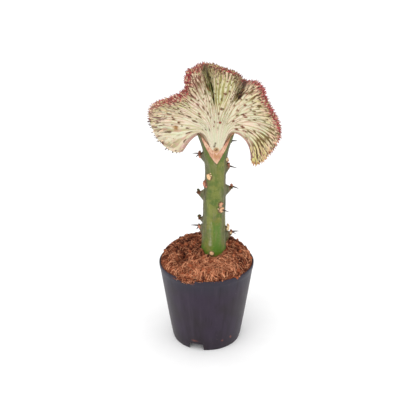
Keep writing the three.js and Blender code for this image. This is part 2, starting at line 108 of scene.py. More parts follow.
# Dark marks that stand out in the photograph: share across, share up and length
FRONT_MARKS = [
    (0.150, 0.95, 2.2), (0.135, 0.96, 2.4), (0.115, 0.95, 2.2), (0.089, 0.82, 4.6),
    (0.044, 0.53, 2.6), (0.086, 0.98, 2.2), (0.061, 0.99, 1.6), (0.104, 0.70, 1.8),
    (0.155, 0.46, 3.2), (0.182, 0.58, 3.4), (0.184, 0.66, 2.6), (0.220, 0.82, 3.0),
    (0.170, 0.80, 3.0), (0.260, 0.80, 2.6), (0.317, 0.74, 2.6), (0.258, 0.52, 2.6),
    (0.332, 0.62, 2.8), (0.151, 0.90, 3.0), (0.185, 0.91, 2.4), (0.278, 0.58, 2.0),
    (0.350, 0.48, 2.6), (0.548, 0.43, 2.0), (0.564, 0.66, 2.0), (0.641, 0.70, 2.2),
    (0.781, 0.64, 2.0), (0.818, 0.64, 1.8), (0.497, 0.67, 2.2), (0.771, 0.92, 2.0),
    (0.891, 0.43, 2.6), (0.785, 0.81, 1.8), (0.960, 0.55, 2.4), (0.949, 0.64, 2.4),
    (0.437, 0.76, 3.0), (0.394, 0.73, 3.2), (0.810, 0.90, 2.8), (0.869, 0.91, 2.4),
    (0.541, 0.20, 1.4), (0.242, 0.21, 2.2),
]

# Stock: height, middle in x, half width, half depth, squareness
STEM = np.array([
    (57, 9, 8, 8, 2), (60, 9, 12, 12, 2), (100, 9, 15, 14.8, 2),
    (121, 9, 15.4, 15.2, 2), (135, 9.1, 15, 14.8, 2), (153, 9.2, 14.2, 14.1, 2),
    (172, 9.4, 13.6, 13.6, 2), (190, 9.8, 13.7, 13.5, 2), (208, 10.3, 12.9, 13.1, 2),
    (225, 10.9, 12.3, 12.8, 2.1), (237, 10.9, 12.7, 12.9, 2.3), (245, 10.7, 13.8, 13, 2.5),
    (252, 10.9, 14.8, 13, 2.7), (259, 11, 16, 13, 2.9), (266, 11, 18.2, 12.8, 3.1),
    (272, 11, 20.8, 12, 3.1), (275, 11, 21.6, 10.5, 3),
], float)
STEM_SIDES = 200
STEM_ANGLES = 5
STEM_ANGLE_DEPTH = 0.035
CLEFT_TOP_Z = 290
CLEFT_POINT = (12.1, 250.5)
CLEFT_LEFT = (-8, 275)
CLEFT_RIGHT = (30.4, 275)
LIP_POINT = (12.8, 234.2)
LIP_LEFT = (-26.6, 273)
LIP_RIGHT = (49, 273)
LIP_INNER_Y = 8.6
LIP_OUTER_Y = 16.5
CUT_FACE_SIDE = 1.6
CUT_LOW_Z = 236
# Leaf bases: height, turn from the front, rise, half width, scar radius and tone, spines,
# each as turn, tilt up and length
LEAF_BASES = [
    (124, -9, 1.2, 4.2, 2.3, 0.9, []),
    (145, 88, 8, 5, 2.2, 0.45, [(2, 7, 9.3), (-24, -14, 6)]),
    (153, 82, 4.6, 3, 2.1, 0.9, []),
    (154, -90, 5, 4.8, 2, 0.3, [(-4, 2, 10.5), (10, -60, 6)]),
    (164.6, -97, 5.4, 2.8, 1.5, 0.1, []),
    (181.5, 34, 2.4, 4.6, 3.1, 0.8, [(44, -13, 9.5)]),
    (188.4, 32, 0.9, 2.8, 2.2, 0.7, []),
    (205.5, 94, 8.4, 4.8, 2, 0.25, [(0, -25, 8.8)]),
    (199.6, -86, 7.6, 4.4, 1.4, 0.05, [(-4, -30, 3)]),
    (212.6, -62, 2.2, 4, 2.9, 0.45, []),
    (223.6, -36, 1.4, 4, 3, 1, []),
    (233.4, 84, 4.2, 4.4, 2.4, 0.3, [(4, -15, 10), (-26, 4, 5)]),
    (242.4, 72, 2, 3, 2.1, 0.6, []),
    (248.2, -86, 5.7, 4.4, 2.3, 0.4, [(-6, 3, 8), (12, -44, 5.5)]),
    (264.6, 95, 0.8, 2, 0, 0, [(0, -2, 8)]),
    (141, 205, 4, 4.6, 2.2, 0.6, [(10, 6, 8), (-12, -10, 8)]),
    (168, 150, 3.6, 4.6, 2.2, 0.8, [(10, -10, 8), (-12, 4, 8)]),
    (194, 214, 3.6, 4.4, 2.2, 0.4, [(10, -12, 8), (-12, 6, 8)]),
    (221, 165, 3.4, 4.2, 2.2, 0.7, [(10, -6, 7.5), (-12, -16, 8)]),
    (239, 224, 2.8, 4, 2.1, 0.5, [(10, 2, 7), (-12, -12, 7)]),
]
# Rings of a leaf scar: share of its radius and lift
SCAR_RINGS = [
    (0.8, -1.6), (1.02, -1.0), (1.08, -0.2), (0.96, 0.35), (0.72, 0.55), (0.42, 0.4), (0.18, 0.5),
]
SCAR_SIDES = 22

# Pot and soil
RIM_INNER_R = 58.4
CUP_FLOOR_Z = 1.4
RAISED_UNDER_Z = 10.8
RAISED_Z = 12
SLOT_COUNT = 3
SLOT_FIRST_DEG = -17.5
SLOT_WIDE = 19
SLOT_HIGH = 10.2
SLOT_INNER_R = 38.5
SLOT_RUN = 15
SLOT_CORNER = 1.2
DRAIN_COUNT = 6
DRAIN_RING_R = 34
DRAIN_R = 3.6
POT_SEGMENTS = 200
SOIL_GAP = 0.3
SOIL_R = RIM_INNER_R - SOIL_GAP
SOIL_EDGE_Z = 106.5
SOIL_MOUND = 15
SOIL_TILT = 0.07
SOIL_SEGMENTS = 340
STEM_FOOT_X = 9
STEM_CLEAR_R = 16.4
SCATTER_MARGIN = 1.5
STRAND_WALL_GAP = 0.9
STRAND_STEM_R = 16.0
FIBRES = 6000
SPILLED_FIBRES = 260
CRUMBS = 1300
SPILLED_CRUMBS = 130


# Small helpers
def smoothstep(low, high, value):
    share = np.clip((value - low) / (high - low), 0, 1)
    return share * share * (3 - 2 * share)


def bell(value, width):
    return np.exp(-((value / width) ** 2))


def unit(vectors):
    return vectors / np.maximum(np.linalg.norm(vectors, axis=-1, keepdims=True), 1e-9)


def points_of(x, y, z):
    """Points from three coordinates, each an array or one number."""
    return np.stack(np.broadcast_arrays(x, y, z), -1)


def around_circle(count):
    return np.linspace(0, 2 * math.pi, count, endpoint=False)


def lattice(ix, iy, iz, seed):
    """Repeatable value from 0 to 1 at each whole-number point."""
    mixed = (
        ix.astype(np.uint32) * np.uint32(374761393)
        ^ iy.astype(np.uint32) * np.uint32(668265263)
        ^ iz.astype(np.uint32) * np.uint32(2147483629)
        ^ np.uint32(seed * 97531 + 12345)
    )
    mixed = (mixed ^ (mixed >> np.uint32(13))) * np.uint32(1274126177)
    mixed = (mixed ^ (mixed >> np.uint32(15))) * np.uint32(2246822519)
    return (mixed >> np.uint32(8)).astype(float) / 2**24


def value_noise(points, size, seed):
    """Smooth noise from -1 to 1, with lumps about size across."""
    scaled = np.asarray(points, float) / size + 1000.0
    cell = np.floor(scaled).astype(np.int64)
    part = scaled - cell
    part = part * part * (3 - 2 * part)
    total = 0
    for corner in np.ndindex(2, 2, 2):
        weight = 1
        for axis, far in enumerate(corner):
            weight = weight * (part[..., axis] if far else 1 - part[..., axis])
        total = total + weight * lattice(*(cell[..., k] + corner[k] for k in range(3)), seed)
    return 2 * total - 1


def fractal(points, size, octaves, seed):
    total = 0
    for octave in range(octaves):
        noise = value_noise(points, size / 2**octave, seed + octave)
        total = total + noise / 2 ** (octave + 1)
    return total


def hashed(numbers, seed):
    """Repeatable value from 0 to 1 for each whole number."""
    whole = np.asarray(numbers).astype(np.int64)
    return lattice(whole, whole * 0 + seed, whole * 0 + 7, seed)


# Meshes
def add_to_scene(name, data):
    made = bpy.data.objects.new(name, data)
    bpy.context.scene.collection.objects.link(made)
    return made


def make_object(name, points, faces, attributes=None, smooth=True):
    """Mesh object from points in millimetres, faces, and values for each point."""
    points = np.asarray(points, float).reshape(-1, 3)
    mesh = bpy.data.meshes.new(name)
    faces = faces.tolist() if isinstance(faces, np.ndarray) else faces
    mesh.from_pydata((points * MM).tolist(), [], faces)
    for key, values in (attributes or {}).items():
        many = values.size == points.size
        attribute = mesh.attributes.new(key, "FLOAT_VECTOR" if many else "FLOAT", "POINT")
        flat = np.ascontiguousarray(values, np.float32).reshape(-1)
        attribute.data.foreach_set("vector" if many else "value", flat)
    mesh.polygons.foreach_set("use_smooth", [smooth] * len(mesh.polygons))
    mesh.update()
    return add_to_scene(name, mesh)


def clean(target, distance_mm=0.01):
    """Welds doubled points, drops faces left with no area and turns all faces outward."""
    work = bmesh.new()
    work.from_mesh(target.data)
    bmesh.ops.remove_doubles(work, verts=work.verts, dist=distance_mm * MM)
    bmesh.ops.dissolve_degenerate(work, edges=work.edges, dist=distance_mm * MM * 0.1)
    bmesh.ops.recalc_face_normals(work, faces=work.faces)
    work.to_mesh(target.data)
    work.free()


def tube_grid(rows, columns):
    """Quads between neighbouring rows of points, each row a ring."""
    here = np.arange(rows * columns).reshape(rows, columns)
    after = np.roll(here, -1, axis=1)
    quads = np.stack([here[:-1], after[:-1], after[1:], here[1:]], axis=-1)
    return quads.reshape(-1, 4)


def tube_faces(count, rings, sides):
    """Faces of tubes closed at both ends, whose points follow one another."""
    starts = (np.arange(count) * rings * sides)[:, None, None]
    ring = np.arange(sides)
    caps = np.stack([ring[::-1], ring + (rings - 1) * sides])
    quads = (tube_grid(rings, sides) + starts).reshape(-1, 4).tolist()
    return quads + (caps + starts).reshape(-1, sides).tolist()


def make_tubes(name, line, across, other, radii, sides, values):
    """Tubes along rows of points; across and other are the two ways of their rings."""
    turn = 2 * math.pi * np.arange(sides)[:, None] / sides
    ring = across[..., None, :] * np.cos(turn) + other[..., None, :] * np.sin(turn)
    points = line[:, :, None] + ring * radii[:, :, None, None]
    values = {key: np.broadcast_to(value, points.shape[:3]) for key, value in values.items()}
    return make_object(name, points, tube_faces(*points.shape[:3]), values)


def swept_forms(name, roots, tips, radii, bend, sides, **extra):
    """Round forms swept from roots to tips; radii holds a row of ring sizes for each form.

    bend is the sideways sag of each form's middle, and extra holds one value for each form.
    """
    along = unit(tips - roots)
    helper = np.where(np.abs(along[:, 2:3]) > 0.9, [[1.0, 0, 0]], [[0, 0, 1.0]])
    across = unit(np.cross(along, helper))
    other = np.cross(along, across)
    share = np.linspace(0, 1, radii.shape[1])[:, None]
    line = roots[:, None] + (tips - roots)[:, None] * share
    line = line + bend[:, None] * (4 * share * (1 - share))
    values = {key: value[:, None, None] for key, value in extra.items()}
    values["reach"] = share
    return make_tubes(name, line, across[:, None], other[:, None], radii, sides, values)


def make_lumps(rng, centres, sizes, thinnest, rough, grain, seed):
    """Points and faces of small lumps, each squashed and roughened in its own way."""
    work = bmesh.new()
    bmesh.ops.create_icosphere(work, subdivisions=2, radius=1)
    corners = np.array([v.co[:] for v in work.verts])
    shape = np.array([[v.index for v in f.verts] for f in work.faces])
    work.free()
    count = len(sizes)
    squash = rng.uniform(thinnest, 1.3, (count, 1, 3))
    lumpy = 1 + rough * value_noise(corners + rng.uniform(0, 500, (count, 1, 3)), grain, seed)
    body = corners * squash * lumpy[..., None] * np.reshape(sizes, (-1, 1, 1))
    starts = (np.arange(count) * len(corners))[:, None, None]
    return np.asarray(centres)[:, None] + body, (shape + starts).reshape(-1, 3)


def hull_object(name, corners):
    work = bmesh.new()
    for corner in corners:
        work.verts.new(Vector(corner) * MM)
    bmesh.ops.convex_hull(work, input=work.verts)
    mesh = bpy.data.meshes.new(name)
    work.to_mesh(mesh)
    work.free()
    return add_to_scene(name, mesh)


def cut_away(target, cutters):
    """Cuts all the cutters out of the target for good, and leaves it without materials."""
    for cutter in cutters:
        modifier = target.modifiers.new("cut", "BOOLEAN")
        modifier.operation = "DIFFERENCE"
        modifier.solver = "EXACT"
        modifier.object = cutter
    bpy.context.view_layer.update()
    evaluated = target.evaluated_get(bpy.context.evaluated_depsgraph_get())
    final = bpy.data.meshes.new_from_object(evaluated)
    target.modifiers.clear()
    old = target.data
    target.data = final
    bpy.data.meshes.remove(old)
    for cutter in cutters:
        bpy.data.objects.remove(cutter)
    target.data.materials.clear()


def smooth_by_angle(target, degrees):
    work = bmesh.new()
    work.from_mesh(target.data)
    limit = math.radians(degrees)
    for face in work.faces:
        face.smooth = True
    for line in work.edges:
        line.smooth = len(line.link_faces) == 2 and line.calc_face_angle(0) < limit
    work.to_mesh(target.data)
    work.free()


# Shader graphs
def rgb(red, green, blue):
    """Linear colour from the 0 to 255 values of a picture."""
    def linear(value):
        value /= 255
        return value / 12.92 if value <= 0.04045 else ((value + 0.055) / 1.055) ** 2.4
    return (linear(red), linear(green), linear(blue), 1)


class Graph:
    """Builds one material; the methods return the socket of their result.

    A tone is a red, green and blue value from 0 to 255, or the socket of a colour.
    """

    def __init__(self, name, roughness=0.5, specular=0.4):
        self.material = bpy.data.materials.new(name)
        self.material.use_nodes = True
        self.tree = self.material.node_tree
        self.shader = self.tree.nodes["Principled BSDF"]
        self.shader.inputs["Roughness"].default_value = roughness
        self.shader.inputs["Specular IOR Level"].default_value = specular
        self.place = self.tree.nodes.new("ShaderNodeTexCoord").outputs["Object"]

    def put(self, socket, value):
        if isinstance(value, bpy.types.NodeSocket):
            self.tree.links.new(value, socket)
        elif value is not None:
            socket.default_value = rgb(*value) if socket.type == "RGBA" else value

    def node(self, kind, inputs, output, **settings):
        made = self.tree.nodes.new("ShaderNode" + kind)
        for key, value in settings.items():
            setattr(made, key, value)
        for key, value in inputs.items():
            self.put(made.inputs[key], value)
        return made.outputs[output]

    def attribute(self, name, output="Fac"):
        return self.node("Attribute", {}, output, attribute_name=name)

    def noise(self, size_mm, detail=3, rough=0.55, stretch=None, flow=False):
        """Noise with lumps of a size in millimetres, in space or, with flow, along the ribs."""
        place = self.attribute("flow", "Vector") if flow else self.place
        scale = (1 if flow else 1000) / size_mm
        if stretch:
            place = self.node("Mapping", {"Vector": place, "Scale": stretch}, "Vector")
        inputs = {"Vector": place, "Scale": scale, "Detail": detail, "Roughness": rough}
        return self.node("TexNoise", inputs, "Fac")

    def cells(self, size_mm):
        """Distance to the nearest of many scattered points."""
        inputs = {"Vector": self.place, "Scale": 1000 / size_mm}
        return self.node("TexVoronoi", inputs, "Distance")

    def math(self, operation, *parts):
        """One operation on all the parts, from the first to the last."""
        def step(a, b):
            return self.node("Math", {0: a, 1: b}, 0, operation=operation)
        return functools.reduce(step, parts)

    def times(self, *parts):
        return self.math("MULTIPLY", *parts)

    def total(self, *rows):
        """Sum of sockets, each times its weight."""
        return self.math("ADD", *(self.times(*row) for row in rows))

    def span(self, value, low, high, to_low=0.0, to_high=1.0):
        """Smooth step from to_low, where value is at low, to to_high, where it is at high."""
        inputs = {"Value": value, "From Min": low, "From Max": high}
        inputs.update({"To Min": to_low, "To Max": to_high})
        return self.node("MapRange", inputs, "Result", interpolation_type="SMOOTHSTEP")

    def band(self, value, start, full, fade, end):
        """1 where value lies from full to fade, and 0 outside start and end."""
        return self.times(self.span(value, start, full), self.span(value, end, fade))

    def mix(self, factor, first, second):
        return self.node("Mix", {0: factor, 6: first, 7: second}, 2, data_type="RGBA")

    def blend(self, value, low, high, first, second):
        """First tone where value is low, second tone where it is high."""
        return self.mix(self.span(value, low, high), first, second)

    def layers(self, colour, *rows):
        """Lays tones over a colour; a row is a tone and amounts, which are multiplied."""
        for tone, *amounts in rows:
            colour = self.mix(self.times(*amounts), colour, tone)
        return colour

    def near(self, point_mm, radius_mm, soft_mm):
        """1 inside a ball of the object's own space, 0 outside it."""
        inputs = {0: self.place, 1: [value * MM for value in point_mm]}
        distance = self.node("VectorMath", inputs, "Value", operation="DISTANCE")
        return self.span(distance, (radius_mm - soft_mm) * MM, (radius_mm + soft_mm) * MM, 1, 0)

    def trail(self, points_mm, radius_mm, soft_mm):
        """Spots in a row, joined."""
        return self.math("MAXIMUM", *(self.near(p, radius_mm, soft_mm) for p in points_mm))

    def height(self):
        return self.node("SeparateXYZ", {0: self.place}, "Z")

    def bump(self, height, strength, distance_mm):
        inputs = {"Height": height, "Strength": strength, "Distance": distance_mm * MM}
        return self.node("Bump", inputs, "Normal")

    def finish(self, target, colour, roughness=None, normal=None):
        """Gives the target the finished material."""
        self.put(self.shader.inputs["Base Color"], colour)
        self.put(self.shader.inputs["Roughness"], roughness)
        self.put(self.shader.inputs["Normal"], normal)
        target.data.materials.append(self.material)


# Crest
def edge_line(samples=4000):
    """Points on the growing edge and the length up to each."""
    control = np.array([2 * np.array(EDGE[0]) - EDGE[1], *EDGE, 2 * np.array(EDGE[-1]) - EDGE[-2]])
    pieces = len(control) - 3
    place = np.clip(np.linspace(0, 1, samples) * pieces, 0, pieces - 1e-9)
    i = place.astype(int)
    f = (place - i)[:, None]
    points = (
        (1 - f) ** 3 / 6 * control[i]
        + (3 * f**3 - 6 * f**2 + 4) / 6 * control[i + 1]
        + (-3 * f**3 + 3 * f**2 + 3 * f + 1) / 6 * control[i + 2]
        + f**3 / 6 * control[i + 3]
    )
    steps = np.linalg.norm(np.diff(points, axis=0), axis=1)
    return points, np.concatenate([[0], np.cumsum(steps)])


EDGE_POINTS, EDGE_LENGTHS = edge_line()
EDGE_LENGTH = EDGE_LENGTHS[-1]


def rib_radius(across, up):
    """Distance from the hub, the same at the edge, and the edge's point."""
    want = np.clip(across, 0, 1) * EDGE_LENGTH
    edge = np.stack([np.interp(want, EDGE_LENGTHS, EDGE_POINTS[:, k]) for k in range(3)], -1)
    reach = np.hypot(edge[..., 0] - HUB_X, edge[..., 2] - HUB_Z)
    return NECK_R + EVEN_RUN * up + (reach - NECK_R - EVEN_RUN) * up * up, reach, edge


def fan_point(across, up):
    """Middle surface of the fan; across follows the growing edge, up runs from the neck to it."""
    across = np.clip(across, 0, 1)
    r, reach, edge = rib_radius(across, up)
    lean = np.degrees(np.arctan2(edge[..., 2] - HUB_Z, edge[..., 0] - HUB_X)) - 90
    lean = np.where(lean < -180, lean + 360, lean)
    even = NECK_SPREAD * (1 - 2 * across)
    past = np.clip((r - TURN_START_R) / (reach - TURN_START_R), 0, 1)
    turned = past**TURN_POWER * (1 + (0.9 - 0.75 * across) * (1 - past))
    angle = np.radians(90 + even + (lean - even) * turned)
    neck = np.clip(1 - (r - NECK_R) / NECK_LENGTH, 0, 1) ** 2
    even_angle = np.radians(90 + even)
    foot_x = even / NECK_SPREAD * -NECK_FOOT_HALF - NECK_R * np.cos(even_angle)
    foot_z = NECK_FOOT_Z - HUB_Z - NECK_R * np.sin(even_angle)
    fold = np.clip(((r - NECK_R) / (reach - NECK_R) - FOLD_START) / (1 - FOLD_START), 0, 1)
    return points_of(
        HUB_X + r * np.cos(angle) + foot_x * neck,
        edge[..., 1] * fold**FOLD_POWER,
        HUB_Z + r * np.sin(angle) + foot_z * neck,
    )


def fan_frame(across, up, step=0.002):
    """Unit vectors on the fan (up the rib, out of the front, along the edge) and its stretch."""
    before = np.maximum(across - step, 0)
    after = np.minimum(across + step, 1)
    sideways = fan_point(after, up) - fan_point(before, up)
    below = fan_point(across, np.maximum(up - step, 0))
    rib = unit(fan_point(across, np.minimum(up + step, 1)) - below)
    out = unit(np.cross(sideways, rib))
    stretch = np.linalg.norm(sideways, axis=-1) / (after - before)
    return rib, out, unit(np.cross(rib, out)), stretch


def fan_half(across, up):
    inward = np.clip(np.minimum(across, 1 - across) / SIDE_SHARE, 0, 1)
    rounded = 0.55 + 0.45 * np.sqrt(1 - (1 - inward) ** 2)
    return (EDGE_HALF + NECK_EXTRA_HALF * (1 - up) ** 2) * rounded


def rib_line(across, up):
    """Share across where a rib starts; ribs of the left lobe curve upward to the growing edge."""
    lift = smoothstep(0.0, 0.1, across) * (1 - smoothstep(0.1, 0.27, across))
    return across - 0.042 * lift * smoothstep(0.35, 1, up)


def rib_wave(across, up, ribs, seed):
    """Place across one rib from 0 to 1, and the rib's number, with the ribs a little wavy."""
    across = rib_line(across, up)
    wander = 0.16 * np.sin(9 * up + 40 * across) + 0.12 * np.sin(23 * up - 91 * across + seed)
    drift = points_of(across * EDGE_LENGTH / 11, up * 4.5, seed)
    wander = wander + 0.22 * ribs / RIBS * value_noise(drift, 1.0, 71)
    phase = across * ribs + wander * np.clip(4 * up, 0, 1) * np.sin(math.pi * across) ** 0.25
    number = np.floor(phase)
    return phase - number, number


def beads_passed(radius, number, seed):
    """How many tubercles a rib has passed at this distance from the hub."""
    past = radius - BEAD_START_R
    count = BEAD_RATE * past + BEAD_QUICKENING * past * np.abs(past)
    return count + 0.5 * (number % 2) + 0.5 * hashed(number, seed + 2)


def bead_spacing(radius):
    return 1 / (BEAD_RATE + 2 * BEAD_QUICKENING * np.clip(radius - BEAD_START_R, 0, None))


def groove_shade_strength(across, up):
    """How dark the grooves are in each part of the fan, from 0 to 1: partly their own olive tone,
    partly painted shade.
    """
    return 0.22 + 0.78 * np.max([
        bell(across - 0.52, 0.1) * smoothstep(0.34, 0.7, up),
        0.85 * smoothstep(0.68, 0.8, across) * smoothstep(0.7, 0.95, up),
        smoothstep(0.86, 0.95, across) * smoothstep(0.62, 0.88, up),
        0.8 * smoothstep(0.14, 0.22, across) * smoothstep(0.74, 0.93, up),
    ], axis=0)


def left_fold(across, up):
    """How deep in the wide pleated fold left of the middle a place lies, from 0 to 1."""
    off = across - 0.485 + 0.02 * smoothstep(0.55, 0.8, up)
    return bell(off, 0.043) * smoothstep(0.44, 0.66, up)


def fold_shade_strength(across, up):
    """How dark the two folds of the front face are painted, as shade: 1 on their lines, less
    beside.
    """
    near = np.interp(up, [0.6, 0.77, 0.86, 0.94], [0.489, 0.494, 0.485, 0.481])
    far = np.interp(up, [0.79, 0.91, 0.98], [0.425, 0.447, 0.459])
    between = smoothstep(far - 0.014, far, across) * (1 - smoothstep(near, near + 0.02, across))
    off = across - 0.65 - 0.055 * (1 - smoothstep(0.68, 1, up))
    beside = smoothstep(-0.095, -0.02, off) * (1 - smoothstep(0, 0.016, off))
    return np.max([
        bell(across - near, 0.016) * smoothstep(0.5, 0.66, up),
        bell(across - far, 0.013) * smoothstep(0.72, 0.82, up),
        bell(off, 0.009 + 0.014 * smoothstep(0.7, 0.88, up)) * smoothstep(0.64, 0.76, up),
        0.66 * between * smoothstep(0.64, 0.8, up),
        0.7 * beside * smoothstep(0.6, 0.76, up),
    ], axis=0)


def rib_weights(across, up, seed, pleats):
    """How much of the relief each number of ribs gives; ribs fork on their way up."""
    numbers = [rib_wave(across, up, ribs, seed)[1] for ribs in (RIBS / 4, RIBS / 2, RIBS)]
    forks = ((0.25, 0.08, 0, 0.06), (0.6, 0.2, 1, 0.08), (0.93, 0.08, 4, 0.05))
    shares = []
    for number, (start, vary, salt, soft) in zip(numbers, forks):
        level = start + vary * (hashed(number, seed + salt) - 0.5)
        shares.append(smoothstep(level - soft, level + soft, up))
    low, high, last = shares
    high = high * smoothstep(0.04, 0.13, across) * (1 - np.clip(1.6 * pleats, 0, 1))
    last = high * last * smoothstep(0.1, 0.19, across)
    return [
        (RIBS / 4, 1 - low), (RIBS / 2, low * (1 - high)), (RIBS, low * high * (1 - last)),
        (RIBS * 2, low * high * last),
    ]


def rib_relief(across, up, side):
    """Height in millimetres on one face of the fan, how far up a ridge, and the dark marks, partly
    the areoles' own brown and partly painted shadow past each tubercle's tip.
    """
    radius = rib_radius(across, up)[0]
    stretch = fan_frame(across, up)[3]
    seed = FRONT_SEED if side > 0 else BACK_SEED
    fold = fold_shade_strength(across, up) * (side > 0)
    pleats = left_fold(across, up) * (side > 0)
    amplitude = np.interp(up, [0, 0.12, 0.3, 0.6, 0.9, 1], [0, 0.2, 0.58, 1.1, 1.45, 0.8])
    height = 0
    crown = 0
    mark_and_shadow = 0
    for ribs, weight in rib_weights(across, up, seed, pleats):
        place, number = rib_wave(across, up, ribs, seed)
        ridge = np.clip(1 - np.abs(2 * place - 1) ** 1.9, 0, 1)
        bold = 0.55 + 0.85 * hashed(number, seed + 7)
        beads = beads_passed(radius, number, seed)
        step = beads - np.floor(beads)
        swell = step**1.3 * (1 - smoothstep(BEAD_TIP, 1, step))
        past_tip = (step - BEAD_TIP - 0.02) * bead_spacing(radius)
        trail = np.where(past_tip > 0, 4.8, 2.0) * np.interp(across, [0.1, 0.4], [1.3, 0.9])
        sideways = (place - 0.5) * stretch / ribs
        strong = hashed(number * 31 + np.floor(beads) * 7, seed + 3)
        wide = np.interp(across, [0.1, 0.4], [1.3, 1.5])
        # Dark dash at each tubercle's tip, longer past it: partly the areole's own brown, partly
        # painted shadow
        dash_and_shadow = bell(past_tip, trail) * bell(sideways, wide) * (0.2 + 0.8 * strong**1.5)
        dash_and_shadow = dash_and_shadow * np.interp(across, [0.12, 0.18, 0.36, 0.42], [1, 0.72, 0.72, 1])
        height = height + weight * (ridge ** (1 + swell) * (0.6 + 0.75 * swell) * bold - 0.45)
        crown = crown + weight * ridge ** (1 + 0.7 * swell) * (0.6 + 0.4 * swell * bold)
        mark_and_shadow = mark_and_shadow + weight * dash_and_shadow
    if side > 0:
        mark_and_shadow = mark_and_shadow + front_marks(across, up, radius, stretch)
    flow = points_of(rib_line(across, up) * EDGE_LENGTH / 3.2, radius / 22, side * 9)
    streak = value_noise(flow, 1.0, seed + 50)
    height = height * amplitude * (1 + 1.1 * fold) + 0.42 * streak * smoothstep(0.1, 0.35, up)
    return height, crown + 0.16 * streak, mark_and_shadow * smoothstep(0.12, 0.3, up)


def front_marks(across, up, radius, stretch):
    """Strength of the marks placed one by one on the front face."""
    marks = np.array(FRONT_MARKS)
    lines = rib_line(marks[:, 0], marks[:, 1])
    middles = rib_radius(marks[:, 0], marks[:, 1])[0]
    line = rib_line(across, up)
    found = across * 0
    for at, middle, (mark_across, _, length) in zip(lines, middles, marks):
        close = np.abs(across - mark_across) < 0.05
        aside = np.maximum(1.4 * np.abs(line - at), np.abs(across - mark_across) * 0.5) * stretch
        found = np.maximum(found, close * bell(aside, 1.25) * bell(radius - middle, length))
    return found


def edge_knobs(across, offset):
    """Small bumps packed along the growing edge; offset is the place across its thickness."""
    points = points_of(across * EDGE_LENGTH, offset, 0)
    return 0.75 * value_noise(points, 1.9, 5) + 0.4 * value_noise(points, 0.9, 9)


def crest_ring():
    """Round the fan once: share across, part toward the front face, part past the side."""
    across = np.linspace(0, 1, CREST_COLUMNS + 1)
    turn = np.linspace(0, math.pi, CREST_CAP_STEPS + 2)[1:-1]
    ring_across = np.concatenate([across, turn * 0 + 1, across[::-1], turn * 0])
    front = np.concatenate([across * 0 + 1, np.cos(turn), across * 0 - 1, -np.cos(turn)])
    past = np.concatenate([across * 0, np.sin(turn), across * 0, -np.sin(turn)])
    return ring_across, front, past


def crest_faces(rows):
    """Quads round the fan, a strip along its crown from front to back, and the foot's cap."""
    ring = 2 * (CREST_COLUMNS + 1) + 2 * CREST_CAP_STEPS
    back = 2 * CREST_COLUMNS + 1 + CREST_CAP_STEPS
    faces = tube_grid(rows, ring).tolist()
    for start in (0, (rows - 1) * ring):
        strip = [
            [start + i, start + i + 1, start + back - i - 1, start + back - i]
            for i in range(CREST_COLUMNS)
        ]
        strip.append([start + CREST_COLUMNS + k for k in range(CREST_CAP_STEPS + 2)])
        strip.append([start + back + k for k in range(CREST_CAP_STEPS + 1)] + [start])
        faces.extend(strip if start else [face[::-1] for face in strip])
    return faces


def make_crest():
    levels = np.concatenate([np.linspace(0, 0.55, 30), np.linspace(0.55, 1, 48)[1:]])
    crown_turns = np.linspace(0, math.pi / 2, 7)[1:-1]
    up = np.concatenate([levels, crown_turns * 0 + 1])[:, None]
    lift = np.concatenate([levels * 0, np.sin(crown_turns)])[:, None]
    keep = np.concatenate([levels * 0 + 1, np.cos(crown_turns)])[:, None]
    across, face, beside, up, lift, keep = np.broadcast_arrays(*crest_ring(), up, lift, keep)

    middle = fan_point(across, up)
    rib, out, along, _ = fan_frame(across, up)
    half = fan_half(across, up)
    is_front = face > 0
    height, crown, mark_and_shadow = (
        np.where(is_front, seen, hidden)
        for seen, hidden in zip(rib_relief(across, up, 1), rib_relief(across, up, -1))
    )
    offset = half * face * keep
    rough = fractal(middle + out * offset[..., None], 2.2, 2, 21)
    knobs = edge_knobs(across, offset) * smoothstep(0.93, 1, up)
    thick = (half + height * np.abs(face) + 0.2 * rough + 0.45 * knobs) * keep
    points = (
        middle
        + out * (thick * face)[..., None]
        + along * (half * 0.9 * beside * keep)[..., None]
        + rib * ((EDGE_CROWN + 0.7 * knobs) * lift)[..., None]
    )

    radius, reach, _ = rib_radius(across, up)
    hollow = np.where(is_front, middle[..., 1], -middle[..., 1])
    wider = 12 * bell(across - 0.375, 0.05) + 9 * bell(across - 0.7, 0.03)
    crest = make_object("crest_fan", points, crest_faces(len(across)), {
        "rib": crown,
        "mark_and_shadow": mark_and_shadow,
        # Groove darkness: partly the grooves' own olive tone, partly painted shade
        "groove_shade": groove_shade_strength(across, up),
        "outward": up,
        "around": across,
        # Front: the folds' painted shade; back: painted shade deepening into the sheet's hollows
        "fold": np.where(is_front, fold_shade_strength(across, up), smoothstep(2, 14, hollow)),
        "inset": (reach - radius) * 1.15 - wider,
        "crown": lift,
        "flow": points_of(rib_line(across, up) * EDGE_LENGTH, radius, 40.0 * face),
    })
    clean(crest)
    paint_crest(crest)
    return crest


